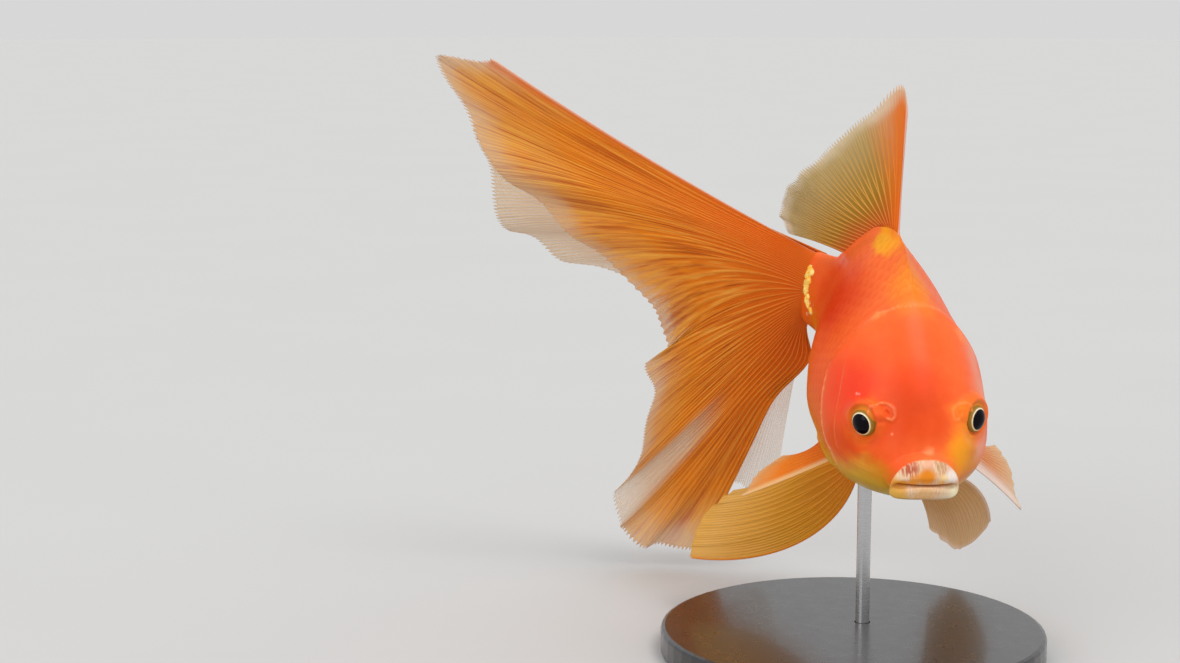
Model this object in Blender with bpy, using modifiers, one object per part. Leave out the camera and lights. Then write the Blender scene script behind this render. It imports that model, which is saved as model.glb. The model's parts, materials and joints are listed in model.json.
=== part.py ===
"""Fancy goldfish (long-finned ryukin), a life-size still model on a display stand.

Metres, +Z up. The origin is the centre of the stand base's underside. The fish is shaped
in a frame of its own, with its mouth at the origin, +Y backward along the straight part
of its spine and +X to its left, and an empty pitches it nose down over the stand.
"""
import math
from collections import namedtuple

import bmesh
import bpy
from mathutils import Matrix, Vector

MM = 0.001
GAP = 0.3
COLLECTION = "goldfish_on_stand"
CUTTERS = "cutters"

# Pose of the fish over the stand: mouth position in millimetres and nose-down pitch.
MOUTH_PLACE = (8.85, -40.0, 61.0)
PITCH = math.radians(27.0)

# Body sections in millimetres: (distance from the mouth along the spine, value).
BACK = ((0, 1.5), (4, 6.8), (12, 14.5), (22, 22), (34, 29), (46, 37), (56, 40.5),
        (66, 36), (75, 26), (83, 15.5), (92, 12))
BELLY = ((0, -6), (5, -12), (12, -18), (22, -24), (36, -28.5), (50, -29.5),
         (62, -26.5), (74, -18.5), (83, -13.5), (92, -14))
HALF_WIDTH = ((0, 7.4), (5, 12.7), (12, 17.8), (18, 20.8), (24, 22.6), (34, 23.3),
              (44, 23.8), (56, 21.5), (68, 15.5), (80, 8.5), (92, 4))
WIDEST_LEVEL = ((0, -2), (12, -4), (24, -5), (46, -5), (66, 0), (92, -1))
RIDGE_SHARPNESS = ((0, 1), (8, 1), (24, 1.02), (31, 1), (35, 1.1), (41, 1.9), (50, 2.5),
                   (58, 2.5), (70, 2), (92, 1))
BELLY_SHARPNESS = ((0, 0.92), (30, 0.92), (46, 1.15), (70, 1.1), (92, 1))
SPINE_HEADING = ((0, -3), (14, -3), (30, 0), (36, 0), (60, 11), (78, 24), (92, 32))

# The gill opening runs round the body at a station that depends on the angle from the top.
GILL_EDGE = ((0, 36), (28, 35.2), (60, 32.5), (100, 30), (140, 27.5), (180, 24))
PEDUNCLE_START = 78.0
BODY_END = 91.6
AROUND = 32

# Gill covers: angles from the top, front edge, thickness and how proud they stand.
GILL_TOP = 58.0
GILL_LOW = 146.0
GILL_FRONT = 19.5
GILL_BOW = 4.0
GILL_THICKNESS = 1.6
GILL_PROUD = 0.35

# Eyes: place on the head, radius of the ball and depth of its centre below the skin.
EYE_PLACES = {"left": (15.1, 54.5), "right": (14.1, 55.0)}
EYE_RADIUS = 4.6
EYE_DEPTH = 2.6

# Jaws: each is a tapered half ring across the mouth. Its section is an ellipse, given at
# the middle and at the corners by its reach to the side, depth and height, half length,
# half thickness and backward tilt. The lips lean a little to the fish's right.
Section = namedtuple("Section", "reach depth height length thickness tilt")
UPPER_JAW = Section(0.0, -1.9, 2.45, 3.0, 1.5, 42.0)
UPPER_CORNER = Section(7.85, -1.2, -0.45, 1.4, 0.8, 0.0)
LOWER_JAW = Section(0.0, -2.9, -3.6, 2.5, 1.9, 20.0)
LOWER_CORNER = Section(8.5, -1.9, -4.15, 1.3, 1.0, 0.0)
JAW_LEAN = 0.15
MOUTH_LEVEL = -2.1
MOUTH_OPENING = (4.6, 3.0, 1.2)

FIN_THICKNESS = 0.6
FIN_CLEARANCE = 0.75
TAIL_FOLDS = 2.5
TAIL_FOLD_SWING = 5.0

# A fin ray: its place along the fin's root (0 to 1), its length in millimetres, and its
# heading at root and tip. Swing turns from straight back toward the fish's left, rise
# turns upward, both in degrees.
Ray = namedtuple("Ray", "place length swing_root swing_tip rise_root rise_tip")

TAIL_RIGHT = (
    Ray(0.00, 113, -68, -75, 20, 31), Ray(0.08, 125, -68, -75, 15, 28),
    Ray(0.20, 111, -68, -75, 15, 14), Ray(0.32, 88, -68, -72, 19, -3),
    Ray(0.42, 65, -68, -72, 17, -24), Ray(0.47, 51, -68, -72, 4, -52),
    Ray(0.50, 52, -68, -72, -12, -66), Ray(0.54, 59, -68, -72, -30, -50),
    Ray(0.61, 64, -68, -72, -45, -52), Ray(0.70, 79, -68, -72, -53, -58),
    Ray(0.78, 101, -68, -75, -62, -55), Ray(0.88, 112, -70, -75, -69, -62),
    Ray(1.00, 103, -60, -78, -80, -72))
TAIL_LEFT = (
    Ray(0.00, 108, -55, -60, 7, 9), Ray(0.10, 118, -55, -60, 3, 1),
    Ray(0.24, 113, -55, -60, -2, -13), Ray(0.38, 92, -54, -59, -10, -22),
    Ray(0.50, 60, -50, -51, -28, -30), Ray(0.60, 70, -46, -48, -46, -54),
    Ray(0.75, 90, -40, -42, -61, -70), Ray(0.90, 88, -24, -20, -74, -84),
    Ray(1.00, 76, -10, 0, -80, -90))
DORSAL = (
    Ray(0.00, 35, 3, 3, 64, 74), Ray(0.06, 40, 3, 0, 72, 61),
    Ray(0.20, 33, -10, -15, 48, 42), Ray(0.40, 30, -22, -30, 6, 30),
    Ray(0.60, 31, -30, -45, -12, 18), Ray(0.80, 29, -34, -48, -14, 5),
    Ray(1.00, 20, -36, -48, -6, -8))
PECTORAL_RIGHT = (
    Ray(0.00, 29, -72, -76, -41, -33), Ray(0.35, 28, -60, -66, -44, -42),
    Ray(0.70, 24, -48, -50, -46, -42), Ray(1.00, 16, -40, -42, -61, -29))
PECTORAL_LEFT = (
    Ray(0.00, 36, 76, 78, -41, -50), Ray(0.35, 36, 66, 70, -43, -50),
    Ray(0.70, 30, 56, 60, -43, -37), Ray(1.00, 22, 46, 50, -50, -20))
PELVIC_RIGHT = (
    Ray(0.00, 73, -65, -75, -92, 0), Ray(0.35, 68, -65, -72, -79, -10),
    Ray(0.70, 58, -60, -65, -61, -20), Ray(1.00, 46, -55, -60, -46, -30))
PELVIC_LEFT = (
    Ray(0.00, 57, 81, 49, -15, -70), Ray(0.30, 66, 76, 41, -33, -69),
    Ray(0.65, 69, 71, 37, -48, -63), Ray(1.00, 60, 61, 31, -57, -56))
ANAL_RIGHT = (
    Ray(0.00, 20, 2, 4, -62, -58), Ray(0.40, 21, 0, 2, -54, -48),
    Ray(1.00, 13, -4, -2, -44, -36))
ANAL_LEFT = (
    Ray(0.00, 24, 8, 4, -62, -50), Ray(0.40, 25, 2, -2, -52, -40),
    Ray(1.00, 15, -4, -6, -40, -28))

# Where the fins grow: stations along the body and angles from the top, in degrees.
TAIL_STATION = BODY_END + 1.0
TAIL_ROOT_ANGLES = (11.0, 169.0)
TAIL_FORK = 0.5
TAIL_NOTCH = 0.006
DORSAL_STATIONS = (56.0, 80.0)
PECTORAL_STATIONS = (30.0, 33.0)
PECTORAL_ANGLES = (128.0, 114.0)
PELVIC_STATIONS = (40.0, 45.0)
PELVIC_ANGLE = 163.0
ANAL_STATIONS = (71.0, 78.0)
ANAL_ANGLE = 164.0

# Stand, in millimetres.
BASE_RADIUS = 55.0
BASE_HEIGHT = 8.0
BASE_BEVEL = 1.2
ROD_RADIUS = 2.0
ROD_PLACE = (4.0, 4.0)
ROD_SEAT = 4.0
ROD_TOP = 62.0

COLOURS = {
    "scarlet_skin": ((0.80, 0.14, 0.04), 0.35),
    "golden_skin": ((0.85, 0.42, 0.08), 0.35),
    "pale_lip": ((0.86, 0.62, 0.42), 0.4),
    "dark_eye": ((0.02, 0.02, 0.03), 0.08),
    "orange_fin": ((0.86, 0.38, 0.08), 0.45),
    "black_lacquer": ((0.03, 0.03, 0.035), 0.3),
    "brushed_steel": ((0.62, 0.62, 0.64), 0.3)}


class Profile:
    """A smooth curve through (place, value) knots that never overshoots them."""

    def __init__(self, knots):
        self.places = [float(place) for place, _ in knots]
        self.values = [float(value) for _, value in knots]
        self.slopes = self._slopes()

    def _slopes(self):
        steps = [b - a for a, b in zip(self.places, self.places[1:])]
        rises = [(b - a) / step for a, b, step in zip(self.values, self.values[1:], steps)]
        slopes = [rises[0]]
        for before, after, near, far in zip(rises, rises[1:], steps, steps[1:]):
            if before * after <= 0:
                slopes.append(0.0)
                continue
            first, second = 2 * far + near, far + 2 * near
            slopes.append((first + second) / (first / before + second / after))
        slopes.append(rises[-1])
        return slopes

    def __call__(self, place):
        place = min(max(place, self.places[0]), self.places[-1])
        index = max(i for i, start in enumerate(self.places[:-1]) if place >= start)
        step = self.places[index + 1] - self.places[index]
        t = (place - self.places[index]) / step
        return (self.values[index] * (1 + 2 * t) * (1 - t) ** 2
                + self.slopes[index] * step * t * (1 - t) ** 2
                + self.values[index + 1] * t * t * (3 - 2 * t)
                + self.slopes[index + 1] * step * t * t * (t - 1))


def blend(ends, share):
    """Value between two ends."""
    return ends[0] + (ends[1] - ends[0]) * share


def spine_table(heading, length, step=0.5):
    """Places and headings along the spine, one for each step of its length."""
    x = y = 0.0
    table = []
    for index in range(int(length / step) + 2):
        angle = math.radians(heading(index * step))
        table.append((x, y, angle))
        x -= math.sin(angle) * step
        y += math.cos(angle) * step
    return table, step


BACK_CURVE = Profile(BACK)
BELLY_CURVE = Profile(BELLY)
WIDTH_CURVE = Profile(HALF_WIDTH)
LEVEL_CURVE = Profile(WIDEST_LEVEL)
RIDGE_CURVE = Profile(RIDGE_SHARPNESS)
KEEL_CURVE = Profile(BELLY_SHARPNESS)
GILL_CURVE = Profile(GILL_EDGE)
SPINE, SPINE_STEP = spine_table(Profile(SPINE_HEADING), TAIL_STATION + 2)


def spine_at(station):
    """Spine place and heading at a distance from the mouth."""
    index = min(max(int(station / SPINE_STEP), 0), len(SPINE) - 2)
    t = station / SPINE_STEP - index
    return tuple(a + (b - a) * t for a, b in zip(SPINE[index], SPINE[index + 1]))


def body_point(station, angle, grow=0.0):
    """Skin point at a station and an angle in degrees, 0 at the top, 90 on the left."""
    turn = math.radians(angle)
    up, out = math.cos(turn), math.sin(turn)
    level = LEVEL_CURVE(station)
    width = WIDTH_CURVE(station) + grow
    if up > 0:
        height = level + (BACK_CURVE(station) + grow - level) * up
        side = abs(out) ** RIDGE_CURVE(station)
    else:
        height = level + (level - BELLY_CURVE(station) + grow) * up
        side = abs(out) ** KEEL_CURVE(station)
    x, y, heading = spine_at(station)
    offset = math.copysign(width * side, out)
    return Vector((x + offset * math.cos(heading), y + offset * math.sin(heading), height))


def skin_normal(station, angle):
    """Outward direction of the skin."""
    along = body_point(station + 0.5, angle) - body_point(station - 0.5, angle)
    around = body_point(station, angle + 1) - body_point(station, angle - 1)
    return around.cross(along).normalized()


def heading_vector(swing, rise):
    """Unit vector at a swing from straight back and a rise above level, in degrees."""
    swing, rise = math.radians(swing), math.radians(rise)
    return Vector((math.sin(swing) * math.cos(rise), math.cos(swing) * math.cos(rise),
                   math.sin(rise)))


def fin_points(root, rays, place, steps, folds=0.0):
    """Points along one ray of a fin, which turns evenly from root heading to tip heading."""
    fields = [Profile([(ray.place, ray[index]) for ray in rays])(place) for index in range(1, 6)]
    length, swing_root, swing_tip, rise_root, rise_tip = fields
    point = root(place)
    points = [point.copy()]
    pieces = 4 * steps
    for piece in range(pieces):
        t = (piece + 0.5) / pieces
        fold = TAIL_FOLD_SWING * math.sin(2 * math.pi * folds * place) * t * t
        swing = swing_root + (swing_tip - swing_root) * t + fold
        rise = rise_root + (rise_tip - rise_root) * t
        point = point + heading_vector(swing, rise) * (length / pieces)
        if piece % 4 == 3:
            points.append(point.copy())
    return points


def reset_scene():
    """Remove every object and make the two collections."""
    for item in list(bpy.data.objects):
        bpy.data.objects.remove(item, do_unlink=True)
    for name in (COLLECTION, CUTTERS):
        collection = bpy.data.collections.new(name)
        bpy.context.scene.collection.children.link(collection)


def material(name):
    """The named Principled material, made on first use."""
    if name in bpy.data.materials:
        return bpy.data.materials[name]
    colour, roughness = COLOURS[name]
    made = bpy.data.materials.new(name)
    made.use_nodes = True
    shader = made.node_tree.nodes["Principled BSDF"]
    shader.inputs["Base Color"].default_value = (*colour, 1.0)
    shader.inputs["Roughness"].default_value = roughness
    shader.inputs["Metallic"].default_value = 1.0 if "steel" in name else 0.0
    return made


def make_object(name, mesh_builder, origin, finish, collection=COLLECTION):
    """An object from a bmesh in millimetres, with its origin at a point of its own."""
    bmesh.ops.recalc_face_normals(mesh_builder, faces=mesh_builder.faces)
    bmesh.ops.translate(mesh_builder, verts=mesh_builder.verts, vec=-Vector(origin))
    bmesh.ops.scale(mesh_builder, verts=mesh_builder.verts, vec=(MM, MM, MM))
    mesh = bpy.data.meshes.new(name)
    mesh_builder.to_mesh(mesh)
    mesh_builder.free()
    mesh.shade_smooth()
    made = bpy.data.objects.new(name, mesh)
    made.location = Vector(origin) * MM
    bpy.data.collections[collection].objects.link(made)
    if finish:
        mesh.materials.append(material(finish))
    else:
        made.hide_render = True
        made.display_type = "WIRE"
    return made


def loft(rings):
    """A closed solid through rings of equal count, each end closed by a fan to its middle."""
    builder = bmesh.new()
    rows = [[builder.verts.new(point) for point in ring] for ring in rings]
    count = len(rows[0])
    for row, following in zip(rows, rows[1:]):
        for i in range(count):
            j = (i + 1) % count
            builder.faces.new((row[i], row[j], following[j], following[i]))
    for row, ring in ((rows[0], rings[0]), (rows[-1], rings[-1])):
        middle = builder.verts.new(sum(ring, Vector()) / count)
        for i in range(count):
            builder.faces.new((row[i], row[(i + 1) % count], middle))
    return builder


def body_ring(station_at):
    """One ring of skin points, whose station may depend on the angle from the top."""
    ring = []
    for index in range(AROUND):
        angle = 360.0 * index / AROUND
        from_top = min(angle, 360.0 - angle)
        ring.append(body_point(station_at(from_top), angle))
    return ring


def make_head():
    """The head in front of the gill opening, blunt at the mouth."""
    shares = (0.0, 0.03, 0.07, 0.13, 0.2, 0.3, 0.42, 0.56, 0.7, 0.85, 1.0)
    rings = [body_ring(lambda angle, share=share: GILL_CURVE(angle) * share) for share in shares]
    return make_object("head", loft(rings), (0, 0, 0), "scarlet_skin")


def make_trunk():
    """The trunk from the gill opening to the peduncle."""
    shares = [index / 10 for index in range(11)]
    rings = []
    for share in shares:
        def station(angle, share=share):
            start = GILL_CURVE(angle) + GAP
            return start + (PEDUNCLE_START - start) * share
        rings.append(body_ring(station))
    return make_object("trunk", loft(rings), (0, 45, 0), "scarlet_skin")


def make_peduncle():
    """The narrow stalk that carries the tail."""
    start = PEDUNCLE_START + GAP
    stations = [start + (BODY_END - start) * index / 4 for index in range(5)]
    rings = [body_ring(lambda angle, station=station: station) for station in stations]
    return make_object("peduncle", loft(rings), body_point(PEDUNCLE_START, 0), "scarlet_skin")


def gill_block(side, inner, outer, margin, overrun):
    """A curved block over the cheek between two depths, its front edge bowed."""
    rows, columns = 10, 6
    widen = math.degrees(margin / WIDTH_CURVE(GILL_FRONT))
    top, low = GILL_TOP - widen, GILL_LOW + widen
    builder = bmesh.new()
    layers = []
    for grow in (inner, outer):
        grid = []
        for row in range(rows + 1):
            angle = top + (low - top) * row / rows
            v = 2 * row / rows - 1
            front = GILL_FRONT + GILL_BOW * v * v - margin
            rear = GILL_CURVE(angle) + overrun
            grid.append([builder.verts.new(body_point(front + (rear - front) * column / columns,
                                                      side * angle, grow))
                         for column in range(columns + 1)])
        layers.append(grid)
    for grid in layers:
        for row in range(rows):
            for column in range(columns):
                builder.faces.new((grid[row][column], grid[row][column + 1],
                                   grid[row + 1][column + 1], grid[row + 1][column]))
    inside, outside = layers
    rim = [(0, c) for c in range(columns)] + [(r, columns) for r in range(rows)]
    rim += [(rows, c) for c in range(columns, 0, -1)] + [(r, 0) for r in range(rows, 0, -1)]
    for (r0, c0), (r1, c1) in zip(rim, rim[1:] + rim[:1]):
        builder.faces.new((inside[r0][c0], inside[r1][c1], outside[r1][c1], outside[r0][c0]))
    return builder


def cut(target, cutter):
    """Subtract a cutter from an object with a Boolean modifier that stays on it."""
    modifier = target.modifiers.new(cutter.name, "BOOLEAN")
    modifier.operation = "DIFFERENCE"
    modifier.solver = "EXACT"
    modifier.object = cutter


def ball(name, radius, place, finish, scale=(1, 1, 1), collection=COLLECTION):
    """A sphere, stretched along the fish's axes, at a place in millimetres."""
    builder = bmesh.new()
    bmesh.ops.create_uvsphere(builder, u_segments=20, v_segments=12, radius=radius)
    bmesh.ops.scale(builder, verts=builder.verts, vec=scale)
    bmesh.ops.translate(builder, verts=builder.verts, vec=place)
    return make_object(name, builder, place, finish, collection)


def make_eyes(head):
    """Both eyeballs, each in a socket with a gap all round."""
    parts = []
    for side, word in ((1, "left"), (-1, "right")):
        station, angle = EYE_PLACES[word]
        centre = (body_point(station, side * angle)
                  - skin_normal(station, side * angle) * EYE_DEPTH)
        parts.append(ball("eye_" + word, EYE_RADIUS, centre, "dark_eye"))
        socket = ball("socket_" + word, EYE_RADIUS + GAP, centre, None, collection=CUTTERS)
        cut(head, socket)
        parts.append(socket)
    return parts


def jaw(name, shape, corner):
    """One jaw: a half ring from corner to corner, fullest at its middle."""
    arcs, sides = 14, 12
    turned = Matrix.Rotation(math.radians(SPINE_HEADING[0][1]), 3, "Z")
    rings = []
    for index in range(arcs + 1):
        turn = math.pi * index / arcs
        share = math.sin(turn) ** 0.8
        depth = blend((corner.depth, shape.depth), share)
        middle = Vector((corner.reach * math.cos(turn) + JAW_LEAN * depth, depth,
                         blend((corner.height, shape.height), share)))
        length = blend((corner.length, shape.length), share)
        thickness = blend((corner.thickness, shape.thickness), share)
        tilt = math.radians(shape.tilt * share)
        along = Vector((0, math.sin(tilt), math.cos(tilt)))
        across = Vector((math.cos(turn), -math.sin(turn) * math.cos(tilt),
                         math.sin(turn) * math.sin(tilt))).normalized()
        rings.append([turned @ (middle + along * (length * math.cos(2 * math.pi * k / sides))
                                + across * (thickness * math.sin(2 * math.pi * k / sides)))
                      for k in range(sides)])
    return make_object(name, loft(rings), (0, shape.depth, shape.height), "pale_lip")


def make_mouth(head):
    """Both jaws and the shallow opening behind them."""
    upper = jaw("upper_jaw", UPPER_JAW, UPPER_CORNER)
    lower = jaw("lower_jaw", LOWER_JAW, LOWER_CORNER)
    opening = ball("mouth_opening", 1.0, (0, 0, MOUTH_LEVEL), None, MOUTH_OPENING, CUTTERS)
    cut(head, opening)
    return [upper, lower, opening]


def make_gill_covers(head):
    """Both gill covers, standing a little proud in recesses of the head."""
    parts = []
    for side, word in ((1, "left"), (-1, "right")):
        plate = gill_block(side, -GILL_THICKNESS, GILL_PROUD, 0.0, 0.0)
        cover = make_object("operculum_" + word, plate,
                            body_point(GILL_FRONT, side * 90), "golden_skin")
        recess = gill_block(side, -GILL_THICKNESS - GAP, 3.0, GAP, 2.0)
        cutter = make_object("recess_" + word, recess,
                             body_point(GILL_FRONT, side * 90), None, CUTTERS)
        cut(head, cutter)
        parts += [cover, cutter]
    return parts


def fin(name, root, rays, ray_count, steps, finish="orange_fin", span=(0.0, 1.0), folds=0.0):
    """A fin: a sheet through its rays, made solid to an even thickness."""
    builder = bmesh.new()
    grid = []
    for index in range(ray_count):
        place = span[0] + (span[1] - span[0]) * index / (ray_count - 1)
        points = fin_points(root, rays, place, steps, folds)
        grid.append([builder.verts.new(point) for point in points])
    for row, following in zip(grid, grid[1:]):
        for step in range(steps):
            builder.faces.new((row[step], row[step + 1], following[step + 1], following[step]))
    made = make_object(name, builder, root(span[0]), finish)
    solid = made.modifiers.new("thickness", "SOLIDIFY")
    solid.thickness = FIN_THICKNESS * MM
    solid.offset = 0.0
    return made


def make_tail():
    """Both halves of the tail, each split at its fork into an upper and a lower lobe."""
    parts = []
    for side, word, rays in ((1, "left", TAIL_LEFT), (-1, "right", TAIL_RIGHT)):
        def root(place, side=side):
            return body_point(TAIL_STATION, side * blend(TAIL_ROOT_ANGLES, place))
        parts.append(fin("tail_upper_" + word, root, rays, 11, 8,
                         span=(0.0, TAIL_FORK - TAIL_NOTCH), folds=TAIL_FOLDS))
        parts.append(fin("tail_lower_" + word, root, rays, 11, 8,
                         span=(TAIL_FORK + TAIL_NOTCH, 1.0), folds=TAIL_FOLDS))
    return parts


def make_fins():
    """The fins of the body: dorsal, and paired pectoral, pelvic and anal fins."""
    parts = [fin("dorsal_fin", lambda place: body_point(blend(DORSAL_STATIONS, place), 0,
                                                        FIN_CLEARANCE), DORSAL, 15, 6)]
    pairs = (("pectoral_fin_", PECTORAL_LEFT, PECTORAL_RIGHT, PECTORAL_STATIONS,
              PECTORAL_ANGLES, 9),
             ("pelvic_fin_", PELVIC_LEFT, PELVIC_RIGHT, PELVIC_STATIONS,
              (PELVIC_ANGLE, PELVIC_ANGLE), 9),
             ("anal_fin_", ANAL_LEFT, ANAL_RIGHT, ANAL_STATIONS,
              (ANAL_ANGLE, ANAL_ANGLE), 7))
    for name, left, right, stations, angles, count in pairs:
        for side, word, rays in ((1, "left", left), (-1, "right", right)):
            def root(place, side=side, stations=stations, angles=angles):
                return body_point(blend(stations, place), side * blend(angles, place),
                                  FIN_CLEARANCE)
            parts.append(fin(name + word, root, rays, count, 6))
    return parts


def cylinder(name, radius, low, high, place, finish, collection=COLLECTION, segments=32):
    """An upright cylinder between two heights."""
    builder = bmesh.new()
    bmesh.ops.create_cone(builder, cap_ends=True, segments=segments, radius1=radius,
                          radius2=radius, depth=high - low)
    middle = Vector((place[0], place[1], 0.5 * (low + high)))
    bmesh.ops.translate(builder, verts=builder.verts, vec=middle)
    return make_object(name, builder, middle, finish, collection)


def make_stand(trunk):
    """A round base and one rod, which ends in a blind socket in the belly."""
    base = cylinder("stand_base", BASE_RADIUS, 0.0, BASE_HEIGHT, (0, 0), "black_lacquer",
                    segments=64)
    edge = base.modifiers.new("edge", "BEVEL")
    edge.width = BASE_BEVEL * MM
    edge.segments = 2
    edge.limit_method = "ANGLE"
    foot = BASE_HEIGHT - ROD_SEAT
    cylinder("stand_rod", ROD_RADIUS, foot + GAP, ROD_TOP, ROD_PLACE, "brushed_steel")
    seat = cylinder("rod_seat", ROD_RADIUS + GAP, foot, BASE_HEIGHT + 4, ROD_PLACE, None,
                    CUTTERS)
    cut(base, seat)
    socket = cylinder("rod_socket", ROD_RADIUS + GAP, BASE_HEIGHT + 6, ROD_TOP + GAP,
                      ROD_PLACE, None, CUTTERS)
    cut(trunk, socket)


def main():
    """Build the fish in its own frame, then pitch it over the stand."""
    reset_scene()
    pose = bpy.data.objects.new("fish_pose", None)
    bpy.data.collections[COLLECTION].objects.link(pose)
    head = make_head()
    trunk = make_trunk()
    parts = [head, trunk, make_peduncle()]
    parts += make_gill_covers(head)
    parts += make_eyes(head)
    parts += make_mouth(head)
    parts += make_tail()
    parts += make_fins()
    for part in parts:
        part.parent = pose
    pose.matrix_world = (Matrix.Translation(Vector(MOUTH_PLACE) * MM)
                         @ Matrix.Rotation(PITCH, 4, "X"))
    make_stand(trunk)


main()
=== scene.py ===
"""Fancy goldfish on a display stand: skin, scales, eyes, fins and stand over the CAD frame.

The fish is shaped in a frame of its own, in millimetres: mouth at the origin, +Y backward
along the straight part of its spine, +X to its left, +Z up. It is then pitched nose down
over the stand and scaled to metres, exactly as its solids are.
"""
import json
import logging
import math
from dataclasses import dataclass, field
from enum import Enum
from typing import Any, Callable, Sequence

import bpy
import numpy as np
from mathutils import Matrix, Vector

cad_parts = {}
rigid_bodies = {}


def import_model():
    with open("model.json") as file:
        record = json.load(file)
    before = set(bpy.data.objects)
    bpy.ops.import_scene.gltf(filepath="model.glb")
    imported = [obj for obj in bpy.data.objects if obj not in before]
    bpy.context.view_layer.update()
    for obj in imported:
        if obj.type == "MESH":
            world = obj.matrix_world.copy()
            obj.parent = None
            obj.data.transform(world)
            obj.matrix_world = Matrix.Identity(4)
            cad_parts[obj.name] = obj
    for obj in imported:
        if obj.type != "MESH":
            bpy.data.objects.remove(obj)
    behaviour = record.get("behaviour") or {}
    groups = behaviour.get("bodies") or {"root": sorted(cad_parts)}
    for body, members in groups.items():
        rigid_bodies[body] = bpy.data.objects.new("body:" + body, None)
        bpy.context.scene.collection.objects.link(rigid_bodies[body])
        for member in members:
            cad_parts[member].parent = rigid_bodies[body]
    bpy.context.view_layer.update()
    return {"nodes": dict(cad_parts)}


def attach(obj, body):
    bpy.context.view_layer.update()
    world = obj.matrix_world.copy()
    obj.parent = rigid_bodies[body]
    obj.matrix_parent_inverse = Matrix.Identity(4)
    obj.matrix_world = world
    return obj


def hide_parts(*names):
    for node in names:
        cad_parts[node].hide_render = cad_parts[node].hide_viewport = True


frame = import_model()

LOG = logging.getLogger("goldfish")
MM = 0.001
BODY = "root"

Array = np.ndarray
Colour = tuple[float, float, float]
Knots = Sequence[tuple[float, float]]


class Side(Enum):
    """A side of the fish, with the sign of its angles and of its x."""

    LEFT = 1
    RIGHT = -1

    @property
    def word(self) -> str:
        """The side's name as the nodes spell it."""
        return self.name.lower()


class Slot(Enum):
    """The record's material slot names."""

    SCARLET = "scarlet_skin"
    GOLDEN = "golden_skin"
    EYE = "dark_eye"
    FIN = "orange_fin"


# ---------------------------------------------------------------------------- shape


class Curve:
    """A smooth curve through (place, value) knots that never overshoots them."""

    def __init__(self, knots: Knots) -> None:
        """Read the knots and set a slope at each."""
        self.places = np.array([knot[0] for knot in knots], float)
        self.values = np.array([knot[1] for knot in knots], float)
        steps = np.diff(self.places)
        rises = np.diff(self.values) / steps
        slopes = [rises[0]]
        for before, after, near, far in zip(rises, rises[1:], steps, steps[1:]):
            if before * after <= 0:
                slopes.append(0.0)
                continue
            first, second = 2 * far + near, far + 2 * near
            slopes.append((first + second) / (first / before + second / after))
        slopes.append(rises[-1])
        self.slopes = np.array(slopes)

    def __call__(self, place: Array | float) -> Array:
        """Values at places, held level beyond the end knots.

        Args:
            place: One place or an array of them.

        Returns:
            The curve's value at each.
        """
        place = np.clip(place, self.places[0], self.places[-1])
        index = np.searchsorted(self.places, place, side="right") - 1
        index = np.clip(index, 0, len(self.places) - 2)
        step = self.places[index + 1] - self.places[index]
        t = (place - self.places[index]) / step
        return (self.values[index] * (1 + 2 * t) * (1 - t) ** 2
                + self.slopes[index] * step * t * (1 - t) ** 2
                + self.values[index + 1] * t * t * (3 - 2 * t)
                + self.slopes[index + 1] * step * t * t * (t - 1))


def smooth(value: Array, low: float, high: float) -> Array:
    """Smooth step from 0 at low to 1 at high."""
    t = np.clip((value - low) / (high - low), 0.0, 1.0)
    return t * t * (3 - 2 * t)


def bell(value: Array, width: float) -> Array:
    """A rounded bump of 1 at zero."""
    return np.exp(-(value / width) ** 2)


def unit(vectors: Array) -> Array:
    """Vectors of length 1."""
    return vectors / (np.linalg.norm(vectors, axis=-1, keepdims=True) + 1e-12)


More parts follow.
